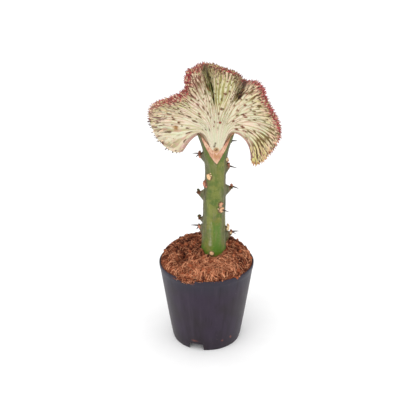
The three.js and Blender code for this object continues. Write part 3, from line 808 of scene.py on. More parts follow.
def paint_crest(crest):
    g = Graph("crest skin", 0.55, 0.3)
    names = ("rib", "outward", "around", "inset", "groove_shade", "fold", "mark_and_shadow", "crown")
    rib, outward, around, inset, groove_shade_amount, fold, mark_and_shadow, crown = map(g.attribute, names)
    broad = g.noise(20, 2)
    middle = g.noise(6, 3)
    fine = g.noise(1.5, 3)
    streak = g.noise(2.6, 3, 0.6, (1, 0.13, 1), flow=True)
    dashes = g.noise(3.4, 2, 0.5, (1, 0.2, 1), flow=True)
    wash = g.noise(5, 3, 0.6, (1, 0.4, 1), flow=True)
    veins = g.noise(9, 3, 0.6, (1, 0.3, 1), flow=True)
    stains = g.noise(5.5, 2, 0.5, (1, 0.36, 1), flow=True)
    near_neck = g.span(outward, 0.6, 0.25)

    # Ridges and the grooves between them; the grooves' darker tones are partly their own olive and
    # partly painted shade
    cream = g.layers(
        g.blend(broad, 0.36, 0.64, (210, 209, 178), (230, 212, 190)),
        ((204, 202, 181), g.span(outward, 0.62, 0.2, 0, 0.8)),
        ((213, 214, 156), g.span(groove_shade_amount, 0.35, 0.9), g.span(outward, 1.04, 0.8), 0.7),
        ((220, 182, 164), g.span(streak, 0.5, 0.64, 0, 0.6)),
        ((210, 220, 186), g.span(wash, 0.5, 0.6, 0, 0.6)),
        ((228, 190, 174), g.span(wash, 0.46, 0.36, 0, 0.5)),
        ((186, 184, 134), g.span(dashes, 0.5, 0.36, 0, 0.6)),
        ((238, 226, 206), g.span(fine, 0.5, 0.66, 0, 0.5)),
        ((182, 190, 148), near_neck, g.span(veins, 0.52, 0.62, 0, 0.7)),
        ((232, 208, 194), near_neck, g.span(veins, 0.46, 0.36, 0, 0.6)),
    )
    olive = g.layers(
        g.blend(middle, 0.4, 0.62, (120, 112, 52), (130, 100, 58)),
        ((172, 166, 106), g.band(around, 0.5, 0.53, 0.59, 0.62), 0.85),
    )
    shallow = g.blend(middle, 0.4, 0.6, (186, 178, 134), (198, 164, 142))
    edge_low = g.span(groove_shade_amount, 0.2, 1, -0.12, -0.3)
    neck_high = g.span(outward, 0.5, 0.12, 0, 0.3)
    level = g.total((rib,), (streak, 0.9), (-0.45,), (edge_low,), (neck_high,))

    # Folds, painted as shade with lit pleat tops, and the tones of the rim, the marks (partly
    # painted shadow), the crown and the foot
    deep = g.layers(
        g.blend(around, 0.56, 0.63, (36, 34, 2), (40, 14, 10)),
        ((104, 84, 40), g.span(level, 0.4, 0.8, 0, 0.36)),
    )
    fold_shadow_tone = g.blend(around, 0.53, 0.6, (66, 70, 6), (84, 66, 26))
    fold_lit_tone = g.blend(around, 0.53, 0.6, (148, 156, 70), (164, 150, 88))
    rim_light = g.blend(streak, 0.45, 0.6, (226, 206, 170), (214, 160, 146))
    # Dark marks: partly own brown, partly painted shadow under tubercle tips
    mark_and_shadow_tone = g.layers(
        g.blend(middle, 0.45, 0.58, (96, 78, 30), (112, 58, 32)),
        ((88, 58, 20), g.span(around, 0.3, 0.2)),
        ((92, 36, 38), g.span(around, 0.2, 0.17), g.span(outward, 0.84, 0.93)),
    )
    ragged = g.times(mark_and_shadow, g.span(fine, 0.36, 0.5, 0.45, 1))
    crimson = g.layers(
        g.blend(fine, 0.42, 0.6, (92, 30, 34), (176, 74, 70)),
        ((196, 132, 80), g.span(around, 0.9, 0.97)),
        ((186, 156, 130), g.span(around, 0.22, 0.15)),
    )
    sides = g.math("MAXIMUM", g.span(around, 0.02, 0.004), g.span(around, 0.985, 1.0))
    flesh = g.blend(middle, 0.4, 0.6, (214, 170, 146), (196, 142, 126))
    # Dark maroon at the notch where the right lobe folds in: partly its own colour, partly painted
    # shade
    notch = g.trail([(43.6, 8, 333), (45, 6.6, 327.6), (42.6, 4, 322)], 4.6, 3.2)
    bruises = [(-59, 7, 290), (-55, 6, 290), (-58, 8, 286), (-50.5, 6, 291), (-35, -8, 311)]
    neck_streak = g.trail([(9.3, -8, 260.8), (9.7, -8, 262.4), (10.6, -8, 264.6)], 1.2, 0.9)
    colour = g.layers(
        g.blend(level, 0.02, 0.34, g.blend(groove_shade_amount, 0.25, 0.8, shallow, olive), cream),
        # Painted shade in the folds: lit pleat tops, shaded sides, near-black depths
        (g.blend(level, 0.14, 0.54, fold_shadow_tone, fold_lit_tone), g.span(fold, 0.1, 0.5, 0, 0.88)),
        (deep, g.span(fold, 0.5, 0.82, 0, 0.96)),
        (g.blend(level, 0.1, 0.5, (88, 78, 24), (204, 194, 108)),
         g.span(around, 0.88, 0.98), g.span(outward, 0.6, 0.94), 0.8),
        ((44, 22, 28), notch, 0.9),
        # Dark maroon grooves between the rim's tubercles: partly their own maroon, partly painted
        # shade between the tubercles
        (g.blend(level, 0.12, 0.4, (84, 46, 38), rim_light), g.span(inset, 15, 3),
         g.span(around, 0.1, 0.2, 0.35, 1), g.span(fold, 0.3, 0.7, 1, 0.2), 0.8),
        ((128, 110, 70), g.span(stains, 0.57, 0.66), g.span(outward, 0.25, 0.5), 0.42),
        ((126, 74, 56), g.band(around, 0.33, 0.37, 0.43, 0.46), g.span(outward, 0.7, 0.88),
         g.span(wash, 0.42, 0.54), 0.7),
        ((104, 74, 42), g.span(dashes, 0.56, 0.66), g.span(outward, 0.6, 0.85), 0.35),
        (mark_and_shadow_tone, g.span(ragged, 0.1, 0.6, 0, 0.9)),
        ((98, 46, 42), g.trail(bruises, 2.2, 1.6), g.span(streak, 0.4, 0.52, 0.3, 0.9)),
        ((158, 112, 50), g.near((-35.9, 1.8, 280.7), 3.6, 2.0), g.span(fine, 0.3, 0.5), 0.8),
        ((146, 62, 50), g.near((15.9, -6.4, 289.4), 1.5, 0.7)),
        ((186, 110, 96), g.span(fine, 0.62, 0.7, 0, 0.5)),
        (crimson, g.span(crown, 0.1, 0.7)),
        ((190, 140, 138), sides, g.span(outward, 0.2, 0.45), g.span(fine, 0.4, 0.6, 0.25, 0.7)),
        (flesh, g.near((12, 0, 245), 14, 1.6), 0.85),
        ((176, 128, 74), g.near((11.6, -9, 256.5), 3.4, 0.8), 0.7),
        ((92, 56, 26), g.near((11.4, -9, 257), 2.0, 0.7), g.span(fine, 0.38, 0.5), 0.9),
        ((78, 56, 26), neck_streak, g.span(fine, 0.36, 0.5, 0.4, 0.9)),
    )
    grain = g.total((fine, 0.5), (streak, 0.9))
    g.finish(crest, colour, g.span(fine, 0.3, 0.7, 0.45, 0.65), g.bump(grain, 0.45, 0.6))


# Growing edge: small tubercles, their soft spines, and the cushions on the older ribs
def edge_rows():
    """Places of the small tubercles: share across, face, inset, offset, and a few measures."""
    rng = np.random.default_rng(41)
    spacing, thick, length = CROWN_ROW
    rows = [(0, 0.0, offset, spacing, thick, length, 0.0) for offset in CROWN_OFFSETS]
    rows.extend((side, inset, 0.0, *rest) for side in (1, -1) for inset, *rest in FACE_ROWS)
    found = []
    for side, inset, offset, spacing, thick, length, lift in rows:
        count = int(EDGE_LENGTH / spacing)
        across = (np.arange(count) + rng.uniform(0.05, 0.95, count)) / count
        share = np.interp(across, [0.04, 0.07], [0.3, 1]) * (0.55 if inset < 1 else 0.3)
        across = across[(across > 0.13) | (rng.uniform(0, 1, count) < share)]
        vary = rng.uniform(0.75, 1.25, (len(across), 4))
        found.append(np.stack(np.broadcast_arrays(
            across, side, inset * vary[:, 0], offset + 2 * (vary[:, 1] - 1),
            thick * vary[:, 2], length * vary[:, 3], lift,
        ), -1))
    return np.concatenate(found)


def edge_forms():
    """Roots, tips, thickness, redness and place round the edge of all the small tubercles."""
    rng = np.random.default_rng(77)
    across, side, inset, offset, thick, length, lift = edge_rows().T
    crown_short = np.interp(across, SHORT_TEETH, [1, 0.74, 0.74, 1])
    ones = across * 0 + 1
    run = np.linalg.norm(fan_point(across, ones) - fan_point(across, ones - 0.02), axis=1) / 0.02
    up = 1 - inset / run
    rib, out, along, _ = fan_frame(across, up)
    surface = np.where(side == 0, offset, side * (fan_half(across, up) - 0.2))
    crown = np.where(side == 0, EDGE_CROWN * (1 - (offset / EDGE_HALF) ** 2), 0)
    spot = fan_point(across, up) + out * surface[:, None] + rib * crown[:, None]
    tilt = np.where(side == 0, offset / 8, side * np.tan(np.radians(lift)))
    way = rib + out * (tilt + rng.normal(0, 0.1, len(across)))[:, None]
    way = unit(way + along * rng.normal(0, 0.1, len(across))[:, None])
    half_way = way * (length * crown_short * 0.5)[:, None]
    root = spot - half_way - out * (0.5 * side * thick)[:, None]
    red_reach = np.interp(across, [0.15, 0.42, 0.5], [14, 14, 11])
    red = 1 - smoothstep(0, red_reach, inset) * 0.9 + rng.uniform(-0.22, 0.22, len(across))
    red = red * np.interp(across, [0, 0.14, 0.23, 0.88, 0.95, 1], [0.1, 0.15, 1, 1.1, 0.55, 0.5])
    pale_share = np.interp(across, [0.6, 0.72], [0.42, 0.2])
    pale = rng.uniform(0, 1, len(across)) < pale_share
    red = np.clip(red * crown_short * np.where(pale, 0.45, 1), 0, 1)
    # Painted shade for the tubercles lying in the front folds
    dark = fold_shade_strength(across, up) * (side > 0) * rng.uniform(0.5, 1.1, len(across))
    return root, spot + half_way, way, thick, red, dark, across, inset


def make_tubercles():
    root, tip, _, thick, red, dark, across, _ = edge_forms()
    rng = np.random.default_rng(19)
    radii = thick[:, None] * np.array([0.7, 1.0, 0.9, 0.62, 0.18])
    bend = unit(rng.normal(0, 1, root.shape)) * 0.15
    tone = rng.uniform(0, 1, len(across))
    made = swept_forms("edge_tubercles", root, tip, radii, bend, 6,
                       red=red, dark=dark, around=across, tone=tone)
    g = Graph("tubercle skin", 0.5, 0.35)
    names = ("reach", "tone", "around", "red", "dark")
    reach, tone, around, redness, fold_shade_mask = map(g.attribute, names)
    fine = g.noise(1.1, 3)
    left_rim = g.band(around, 0.16, 0.22, 0.42, 0.46)
    top = g.band(around, 0.47, 0.51, 0.61, 0.65)
    # Painted shade laid over the tubercles in the folds
    shade = g.blend(around, 0.56, 0.63, (74, 66, 22), (54, 30, 32))
    body = g.layers(
        g.blend(g.noise(14, 2), 0.38, 0.62, (206, 200, 146), (230, 210, 178)),
        ((234, 192, 170), g.span(tone, 0.55, 0.95, 0, 0.6)),
        ((132, 116, 66), g.span(tone, 0.25, 0.05, 0, 0.7)),
        ((126, 54, 52), left_rim, g.span(tone, 0.34, 0.24, 0, 0.85)),
        ((98, 60, 46), g.band(around, 0.05, 0.09, 0.17, 0.21),
         g.span(tone, 0.46, 0.34, 0, 0.85)),
        ((196, 190, 104), g.span(around, 0.9, 0.97, 0, 0.6)),
        ((88, 60, 38), g.span(reach, 0.36, 0.15, 0, 0.5)),
        ((200, 198, 126), g.band(around, 0.43, 0.48, 0.58, 0.64), 0.6),
        (shade, fold_shade_mask, 0.85),
    )
    reds = g.layers(
        g.blend(tone, 0.3, 0.8, (104, 32, 40), (204, 98, 94)),
        ((214, 132, 84), g.span(around, 0.9, 0.97)),
        ((110, 66, 60), g.span(around, 0.23, 0.15)),
        ((206, 118, 106), left_rim, 0.5),
        ((184, 44, 68), g.band(around, 0.63, 0.7, 0.87, 0.91), 0.5),
        (g.blend(tone, 0.3, 0.8, (104, 44, 38), (196, 116, 92)), top, 0.8),
    )
    tip_red = g.times(g.span(reach, 0.25, 0.9, 0.1, 1), redness)
    dark_tip = g.math(
        "MAXIMUM",
        g.times(g.span(reach, 0.78, 0.95), g.span(tone, 0.1, 0.6, 0.8, 0.2)),
        g.times(top, g.span(reach, 0.6, 0.9, 0, 0.7)),
    )
    colour = g.layers(
        g.blend(tip_red, 0.12, 0.85, body, reds),
        (shade, fold_shade_mask, 0.45),
        ((70, 34, 28), dark_tip),
        ((228, 196, 160), g.span(fine, 0.52, 0.7, 0, 0.4)),
    )
    g.finish(made, colour, g.span(fine, 0.3, 0.7, 0.4, 0.62), g.bump(fine, 0.3, 0.3))
    return made


def make_edge_spines():
    """Soft spines on the outermost tubercles: crimson, and dark stubs on the left lobe."""
    _, tip, way, _, _, _, across, inset = edge_forms()
    keep = inset < 5.2
    tip, way, across = tip[keep], way[keep], across[keep]
    rng = np.random.default_rng(63)
    count = len(across)
    stub = across < 0.14
    heading = unit(way + rng.normal(0, 0.22, (count, 3)))
    size = rng.uniform(1.0, 2.3, count) * np.where(stub, 1.25, 1)
    size = size * np.interp(across, SHORT_TEETH, [1, 0.6, 0.6, 1])
    radius = rng.uniform(0.28, 0.42, count) * np.where(stub, 1.7, 1)
    radii = radius[:, None] * np.array([1.0, 0.8, 0.5, 0.16])
    bend = unit(rng.normal(0, 1, (count, 3))) * 0.15
    tone = np.interp(across, [0, 0.12, 0.18, 0.9, 0.95], [0.05, 0.1, 0.5, 0.5, 0.9])
    tone = tone + rng.uniform(-0.12, 0.12, count) - 0.17 * bell(across - 0.56, 0.06)
    made = swept_forms("edge_spines", tip - heading * 0.5, tip + heading * size[:, None],
                       radii, bend, 4, tone=tone)
    g = Graph("edge spine", 0.45)
    tone = g.attribute("tone")
    fine = g.noise(1.2, 2)
    red = g.blend(fine, 0.35, 0.65, (128, 36, 46), (186, 78, 82))
    colour = g.layers(
        g.blend(tone, 0.2, 0.35, (88, 62, 62), red),
        ((206, 130, 84), g.span(tone, 0.7, 0.85)),
        ((70, 28, 30), g.span(g.attribute("reach"), 0.3, 0.95, 0, 0.7)),
    )
    g.finish(made, colour, g.span(fine, 0.3, 0.7, 0.35, 0.6), g.bump(fine, 0.2, 0.2))
    return made


def areole_places(side):
    """Share across, up and strength of the tubercle tips on one face."""
    seed = FRONT_SEED if side > 0 else BACK_SEED
    found = []
    for ribs, low, high in ((RIBS / 4, 0.16, 0.24), (RIBS / 2, 0.27, 0.56), (RIBS, 0.66, 0.88)):
        for number in range(int(ribs)):
            up = np.linspace(low, high, 160)
            across = up * 0 + (number + 0.5) / ribs
            for _ in range(9):
                place, found_number = rib_wave(across, up, ribs, seed)
                across = across - (place + found_number - number - 0.5) / ribs
                across = np.clip(across, 0.004, 0.996)
            beads = beads_passed(rib_radius(across, up)[0], np.array([number]), seed)
            step = beads - np.floor(beads) - BEAD_TIP - 0.02
            for k in np.nonzero((step[:-1] < 0) & (step[1:] >= 0) & (step[1:] < 0.2))[0]:
                key = np.array([number * 31 + np.floor(beads[k]) * 7])
                found.append((across[k], up[k], hashed(key, seed + 3)[0]))
    return np.array(found)


def make_areoles():
    """Felted cushions at the tips of the bolder tubercles, a low dome each."""
    rng = np.random.default_rng(17)
    found = []
    for side in (1, -1):
        across, up, strong = areole_places(side).T
        bold = strong > 0.6
        across, up, strong = across[bold], up[bold], strong[bold]
        out = fan_frame(across, up)[1] * side
        height = rib_relief(across, up, side)[0] + fan_half(across, up)
        centre = fan_point(across, up) + out * height[:, None]
        size = (0.28 + 0.4 * strong) * rng.uniform(0.8, 1.25, len(across))
        found.append(np.column_stack([centre, out * size[:, None], size, strong]))
    found = np.concatenate(found)
    centre, out, size, tone = found[:, :3], found[:, 3:6], found[:, 6:7], found[:, 7]
    radii = size * np.array([1.0, 1.05, 0.92, 0.6, 0.2])
    made = swept_forms("areoles", centre - out * 0.8, centre + out * 0.62, radii, centre * 0, 8,
                       tone=tone)
    g = Graph("areole felt", 0.8, 0.2)
    fine = g.noise(0.5, 3)
    colour = g.layers(
        g.blend(g.attribute("tone"), 0.4, 1, (150, 118, 80), (98, 72, 46)),
        ((142, 84, 62), g.span(fine, 0.35, 0.7, 0, 0.5)),
    )
    g.finish(made, colour, None, g.bump(fine, 0.6, 0.3))
    return made


# Stock
def stem_profile(z):
    """Middle, half width, half depth and squareness at each height, smoothed."""
    dense = np.linspace(STEM[0, 0], STEM[-1, 0], 900)
    spread = 3.0 / (dense[1] - dense[0])
    window = np.exp(-0.5 * (np.arange(-60, 61) / spread) ** 2)
    window /= window.sum()
    values = []
    for k in range(1, 5):
        line = np.interp(dense, STEM[:, 0], STEM[:, k])
        padded = np.pad(line, 60, mode="reflect", reflect_type="odd")
        values.append(np.interp(z, dense, np.convolve(padded, window, "valid")))
    return values


def outward(turn_deg, tilt_deg=0.0):
    """Unit vector away from the pot's axis; turn 0 is the front."""
    turn = math.radians(turn_deg)
    tilt = math.radians(tilt_deg)
    return np.array([
        math.sin(turn) * math.cos(tilt), -math.cos(turn) * math.cos(tilt), math.sin(tilt)
    ])


def leaf_base_top(base):
    """Point on the skin under a leaf base's scar, and the way it faces, across and up."""
    z, turn, rise = base[:3]
    middle, half_x, half_y, _ = (float(v) for v in stem_profile(np.array([float(z)])))
    out = outward(turn)
    skin = np.array([middle + half_x * out[0], half_y * out[1], z])
    across = unit(np.cross([0, 0, 1.0], out))
    return skin + outward(turn, 12) * rise, out, across, np.cross(out, across)


def leaf_base_shape(base, turn, height, around_r):
    """Swelling in millimetres that one leaf base gives the skin, and a ring round its scar."""
    level, deg, rise, half, scar = base[:5]
    out = outward(deg)
    apart = (turn - np.arctan2(out[1], out[0]) + math.pi) % (2 * math.pi) - math.pi
    sideways = apart * around_r
    over = height - level
    tall = np.where(over > 0, half * 1.1, half * 2.4)
    away = np.sqrt((sideways / (half + 1.1)) ** 2 + (over / tall) ** 2)
    inside = np.clip(1 - away, 0, 1)
    swell = rise * (0.5 * inside**1.05 + 0.5 * (1 - (1 - inside) ** 2) ** 2)
    return swell, bell(np.hypot(sideways, over) / (scar + 1.0) - 0.9, 0.3) * (scar > 0)


def make_stock():
    z = np.concatenate([np.linspace(57, 112, 14), np.linspace(113, 275, 330)])[:, None]
    turn = around_circle(STEM_SIDES)
    middle, half_x, half_y, power = stem_profile(z)
    c = np.cos(turn)
    s = np.sin(turn)
    square = (np.abs(c) ** power + np.abs(s) ** power) ** (-1 / power)
    square = square * (1 + STEM_ANGLE_DEPTH * np.cos(STEM_ANGLES * (turn + math.pi / 2)))
    x = half_x * square * c
    y = half_y * square * s
    place = points_of(middle + x, y, z)

    shapes = [leaf_base_shape(base, turn, z, np.hypot(x, y)) for base in LEAF_BASES]
    swell, ring = np.max(shapes, axis=0)
    grain = place * [1, 1, 0.22]
    relief = 0.34 * fractal(grain, 5, 3, 31) + 0.16 * value_noise(place, 1.6, 37)
    relief = relief + 0.25 * value_noise(place, 3.2, 53) * np.clip(swell / 3, 0, 1)
    points = place + unit(points_of(x, y, 0)) * (swell + relief)[..., None]
    stock = make_object("stock_skin", points, tube_faces(1, len(z), STEM_SIDES), {
        "bulge": swell / 6,
        "ring": ring,
        "lip": lip_distance(points.reshape(-1, 3)),
        "side": np.broadcast_to(np.abs(c), x.shape),
    })
    cut_away(stock, [cleft_wedge(), cleft_lip(-1), cleft_lip(1)])
    paint_skin(stock)
    paint_cut(stock)
    for polygon in stock.data.polygons:
        if polygon.area > (CUT_FACE_SIDE * MM) ** 2 and polygon.center.z > CUT_LOW_Z * MM:
            polygon.material_index = 1
            polygon.use_smooth = False
    return stock


def lip_distance(points):
    """Distance in the face of the plant from the outer line of the graft's cut, shared by 6 mm."""
    sides = []
    depth = np.clip((np.abs(points[:, 1:2]) - LIP_INNER_Y) / (LIP_OUTER_Y - LIP_INNER_Y), 0, 1)
    start = np.array(CLEFT_POINT) * (1 - depth) + np.array(LIP_POINT) * depth
    for inner, outer in ((CLEFT_LEFT, LIP_LEFT), (CLEFT_RIGHT, LIP_RIGHT)):
        along = np.array(inner) * (1 - depth) + np.array(outer) * depth - start
        flat = points[:, [0, 2]] - start
        share = np.clip((flat * along).sum(1) / (along**2).sum(1), 0, 1)
        sides.append(np.linalg.norm(flat - share[:, None] * along, axis=1))
    return np.clip(np.minimum(*sides) / 6, 0, 1)


def cleft_wedge():
    corners = []
    for y in (-30, 30):
        corners.append((CLEFT_POINT[0], y, CLEFT_POINT[1]))
        for x, z in (CLEFT_LEFT, CLEFT_RIGHT):
            stretch = (CLEFT_TOP_Z - CLEFT_POINT[1]) / (z - CLEFT_POINT[1])
            corners.append((CLEFT_POINT[0] + (x - CLEFT_POINT[0]) * stretch, y, CLEFT_TOP_Z))
    return hull_object("wedge", corners)


def cleft_lip(sign):
    corners = []
    faces = (
        (LIP_INNER_Y, CLEFT_POINT, CLEFT_LEFT, CLEFT_RIGHT),
        (LIP_OUTER_Y, LIP_POINT, LIP_LEFT, LIP_RIGHT),
    )
    for reach, point, left, right in faces:
        tops = ((left[0], CLEFT_TOP_Z), (right[0], CLEFT_TOP_Z))
        corners.extend((x, sign * reach, z) for x, z in (point, left, right, *tops))
    return hull_object("lip", corners)


def paint_skin(stock):
    g = Graph("stock skin", 0.4, 0.4)
    bulge, ring, lip, side = map(g.attribute, ("bulge", "ring", "lip", "side"))
    height = g.height()
    streak = g.noise(5, 3, stretch=(1, 1, 0.14))
    thin = g.noise(2, 3, stretch=(1, 1, 0.1))
    fine = g.noise(1.1, 4)
    patch = g.noise(8, 3)
    bright = g.trail([(13.4, -14.4, z) for z in range(128, 166, 5)], 6.0, 2.6)
    # A pale vertical streak down the front left of the stock
    pale_streak = g.trail([(4.2, -14.4, z) for z in range(136, 168, 4)], 2.0, 1.8)
    colour = g.layers(
        g.blend(g.noise(26, 2), 0.38, 0.62, (86, 101, 32), (118, 119, 52)),
        ((74, 100, 26), g.span(patch, 0.5, 0.62, 0, 0.6)),
        ((126, 131, 54), g.band(height, 0.15, 0.18, 0.2, 0.235),
         g.span(patch, 0.56, 0.44, 0, 0.5)),
        ((130, 132, 62), g.span(streak, 0.44, 0.34, 0, 0.5)),
        # Grey-brown toward the stock's left and right sides: partly its own grey streaks, partly
        # painted shade where it turns away
        (g.blend(thin, 0.4, 0.6, (58, 56, 34), (98, 90, 70)),
         g.span(g.total((side,), (streak, 0.9)), 0.98, 1.42, 0, 0.9)),
        ((122, 118, 82), g.span(streak, 0.52, 0.68, 0, 0.55)),
        ((140, 144, 108), g.span(thin, 0.62, 0.72, 0, 0.25)),
        ((74, 88, 34), g.span(fine, 0.54, 0.68, 0, 0.35)),
        ((78, 118, 28), g.span(height, 0.15, 0.122), g.span(patch, 0.35, 0.55), 0.7),
        ((72, 112, 18), bright, g.span(thin, 0.34, 0.5, 0.4, 0.8)),
        ((170, 174, 150), pale_streak, g.span(thin, 0.42, 0.6, 0.1, 0.65)),
        ((140, 110, 42), g.near((13.5, -13, 166), 5, 3), g.span(fine, 0.4, 0.6), 0.5),
        (g.blend(patch, 0.4, 0.6, (72, 88, 48), (100, 84, 60)), g.span(bulge, 0.1, 0.5, 0, 0.55)),
        ((122, 84, 60), g.span(bulge, 0.5, 0.95), 0.75),
        ((96, 70, 48), g.span(ring, 0.4, 0.9, 0, 0.75)),
        ((98, 76, 44), g.span(lip, 0.3, 0.02), 0.75),
        ((156, 156, 118), g.span(g.cells(2.6), 0.1, 0.2, 0.45, 0)),
    )
    relief = g.total((fine, 0.5), (thin, 0.8))
    g.finish(stock, colour, g.span(fine, 0.3, 0.7, 0.32, 0.55), g.bump(relief, 0.4, 0.6))


def paint_cut(stock):
    g = Graph("graft cut", 0.6, 0.3)
    thin = g.noise(2.4, 4, stretch=(1, 1, 0.35))
    lines = g.noise(1.3, 3, stretch=(1, 1, 0.3))
    fine = g.noise(1.2, 4)
    colour = g.layers(
        g.blend(g.noise(7, 3), 0.36, 0.64, (200, 154, 122), (218, 182, 152)),
        ((184, 122, 108), g.span(thin, 0.48, 0.6, 0, 0.75)),
        ((160, 96, 84), g.span(lines, 0.54, 0.64, 0, 0.6)),
        ((150, 92, 70), g.span(fine, 0.54, 0.7, 0, 0.5)),
        ((170, 118, 66), g.near((12.6, -11, 250), 3.6, 1.0), 0.55),
        ((84, 56, 38), g.near((-9.5, -8, 273.5), 4.6, 1.6), 0.8),
        ((134, 86, 50), g.near((26, -9, 271), 5, 2.4), 0.6),
    )
    relief = g.total((fine, 0.5), (thin, 0.6))
    g.finish(stock, colour, g.span(fine, 0.3, 0.7, 0.5, 0.72), g.bump(relief, 0.55, 0.8))


def make_leaf_scars():
    """Dry corky buttons where leaves fell, domed and a little ragged."""
    rng = np.random.default_rng(8)
    share, lift = np.array(SCAR_RINGS).T[:, :, None]
    turn = around_circle(SCAR_SIDES)
    points = []
    for base in LEAF_BASES:
        if base[4] == 0:
            continue
        top, out, across, upright = leaf_base_top(base)
        wave = rng.uniform(0, 2 * math.pi, 2)
        wavy = 1 + 0.1 * np.sin(2 * turn + wave[0]) + 0.07 * np.sin(5 * turn + wave[1])
        reach = (1.15 * base[4] * share * wavy)[..., None]
        rough = 0.1 * rng.uniform(-1, 1, reach.shape)
        points.append(
            top
            + across * reach * 0.9 * np.cos(turn)[:, None]
            + upright * reach * 1.05 * np.sin(turn)[:, None]
            + out * (lift[..., None] + rough)
        )
    points = np.array(points)
    tones = np.array([base[5] for base in LEAF_BASES if base[4] > 0])
    made = make_object("leaf_scars", points, tube_faces(*points.shape[:3]), {
        "tone": np.broadcast_to(tones[:, None, None], points.shape[:3]),
        "rim": np.broadcast_to(share, points.shape[:3]),
    })
    g = Graph("leaf scar", 0.8, 0.2)
    fine = g.noise(0.8, 3)
    tone = g.attribute("tone")
    colour = g.layers(
        g.blend(tone, 0.0, 0.35, (82, 58, 44), (196, 132, 110)),
        ((238, 198, 150), g.span(tone, 0.5, 1.0)),
        ((150, 92, 66), g.span(fine, 0.48, 0.66, 0, 0.5)),
        ((92, 62, 44), g.span(g.attribute("rim"), 0.8, 1.0, 0, 0.65)),
    )
    g.finish(made, colour, None, g.bump(fine, 0.8, 0.5))
    return made


def make_knots():
    """Small ragged lumps of old cork and dried shoot round the root of each pair of spines."""
    rng = np.random.default_rng(37)
    centres = []
    sizes = []
    tones = []
    for base in LEAF_BASES:
        top, out, across, _ = leaf_base_top(base)
        in_profile = abs(base[1]) > 45
        for _ in range(10 if base[6] or in_profile else 3):
            turn = rng.uniform(0, 2 * math.pi)
            away = max(base[4], 1.6) * rng.uniform(0.7, 1.5)
            aside = across * away * math.cos(turn) + np.array([0, 0, away * math.sin(turn)])
            centres.append(top + aside - out * (0.2 + 0.4 * away))
            sizes.append(rng.uniform(0.8, 2.0) * (1.0 if in_profile else 0.6))
            tones.append(min(max(1.15 * base[5] + rng.uniform(-0.3, 0.35), 0), 1))
    points, faces = make_lumps(rng, centres, sizes, 0.6, 0.4, 0.8, 47)
    tone = np.repeat(tones, points.shape[1])
    made = make_object("leaf_base_knots", points, faces, {"tone": tone})
    g = Graph("leaf base knot", 0.75, 0.2)
    tone = g.attribute("tone")
    fine = g.noise(0.7, 3)
    colour = g.layers(
        g.blend(tone, 0.2, 0.3, (62, 70, 34), (112, 66, 46)),
        ((204, 136, 112), g.span(tone, 0.45, 0.55)),
        ((226, 202, 158), g.span(tone, 0.8, 0.88)),
        ((96, 56, 40), g.span(fine, 0.46, 0.66, 0, 0.6)),
    )
    g.finish(made, colour, None, g.bump(fine, 0.8, 0.4))
    return made


def make_stock_spines():
    """Stout dark spines, thick at the root and sharp, a little curved."""
    roots = []
    tips = []
    for base in LEAF_BASES:
        top, out = leaf_base_top(base)[:2]
        for turn, tilt, length in base[6]:
            roots.append(top - out * 1.4)
            tips.append(top + outward(base[1] + turn, tilt) * length)
    rng = np.random.default_rng(5)
    count = len(roots)
    bend = points_of(0, 0, rng.uniform(0.2, 0.6, count))
    thick = rng.uniform(1.05, 1.3, count)
    radii = thick[:, None] * ((1 - np.linspace(0, 1, 12)) ** 0.72 + 0.05)
    tone = rng.uniform(0, 1, count)
    made = swept_forms("stock_spines", np.array(roots), np.array(tips), radii, bend, 12, tone=tone)
    g = Graph("stock spine", 0.42, 0.4)
    fine = g.noise(1.5, 3)
    reach = g.attribute("reach")
    colour = g.layers(
        g.blend(fine, 0.35, 0.65, (38, 28, 26), (66, 46, 38)),
        ((112, 72, 54), g.span(reach, 0.3, 0.0)),
        ((24, 20, 22), g.span(reach, 0.55, 1.0)),
    )
    g.finish(made, colour, g.span(fine, 0.3, 0.7, 0.3, 0.5), g.bump(fine, 0.3, 0.3))
    return made


# Soil
def soil_height(x, y):
    """Top of the heap, before its crumbs."""
    share = np.clip(np.hypot(x, y) / SOIL_R, 0, 1)
    mound = SOIL_MOUND * (1 - share**8) + SOIL_TILT * y * (1 - share**6)
    lumps = (
        np.sin(0.31 * x + 0.9) * np.sin(0.27 * y + 0.4)
        + 0.8 * np.sin(0.52 * x - 0.44 * y)
        + 0.6 * np.sin(0.71 * y + 0.3 * x + 1.7)
    )
    return SOIL_EDGE_Z + mound + 1.1 * lumps * (1 - share**8)


def soil_relief(x, y):
    """Clods and hollows of the heap, and how deep each spot lies, from 0 to 1."""
    place = points_of(x, y, 0)
    clods = 1 - np.abs(value_noise(place, 3.4, 13))
    settle = 1 - 0.75 * smoothstep(0.93, 1, np.hypot(x, y) / SOIL_R)
    rough = 3.6 * fractal(place, 10, 3, 3) + 2.2 * (clods - 0.6) + 0.8 * value_noise(place, 1.2, 17)
    rough = rough * settle - 6 * bell(np.hypot((x + 30) / 5.2, (y + 24) / 9), 1)
    return rough + stem_collar(x, y), np.clip(0.45 - 0.26 * rough, 0, 1)


def stem_collar(x, y):
    """Coir pushed up at both sides of the stock, and scooped away in front of it."""
    away = np.hypot(x - STEM_FOOT_X, y)
    sideways = np.abs(x - STEM_FOOT_X) / np.maximum(away, 1)
    piled = smoothstep(0.5, 0.95, sideways) * bell(away - 15, 7)
    scooped = smoothstep(0.3, 0.9, -y / np.maximum(away, 1)) * bell(away - 15, 8)
    return 5.5 * piled - 2.5 * scooped


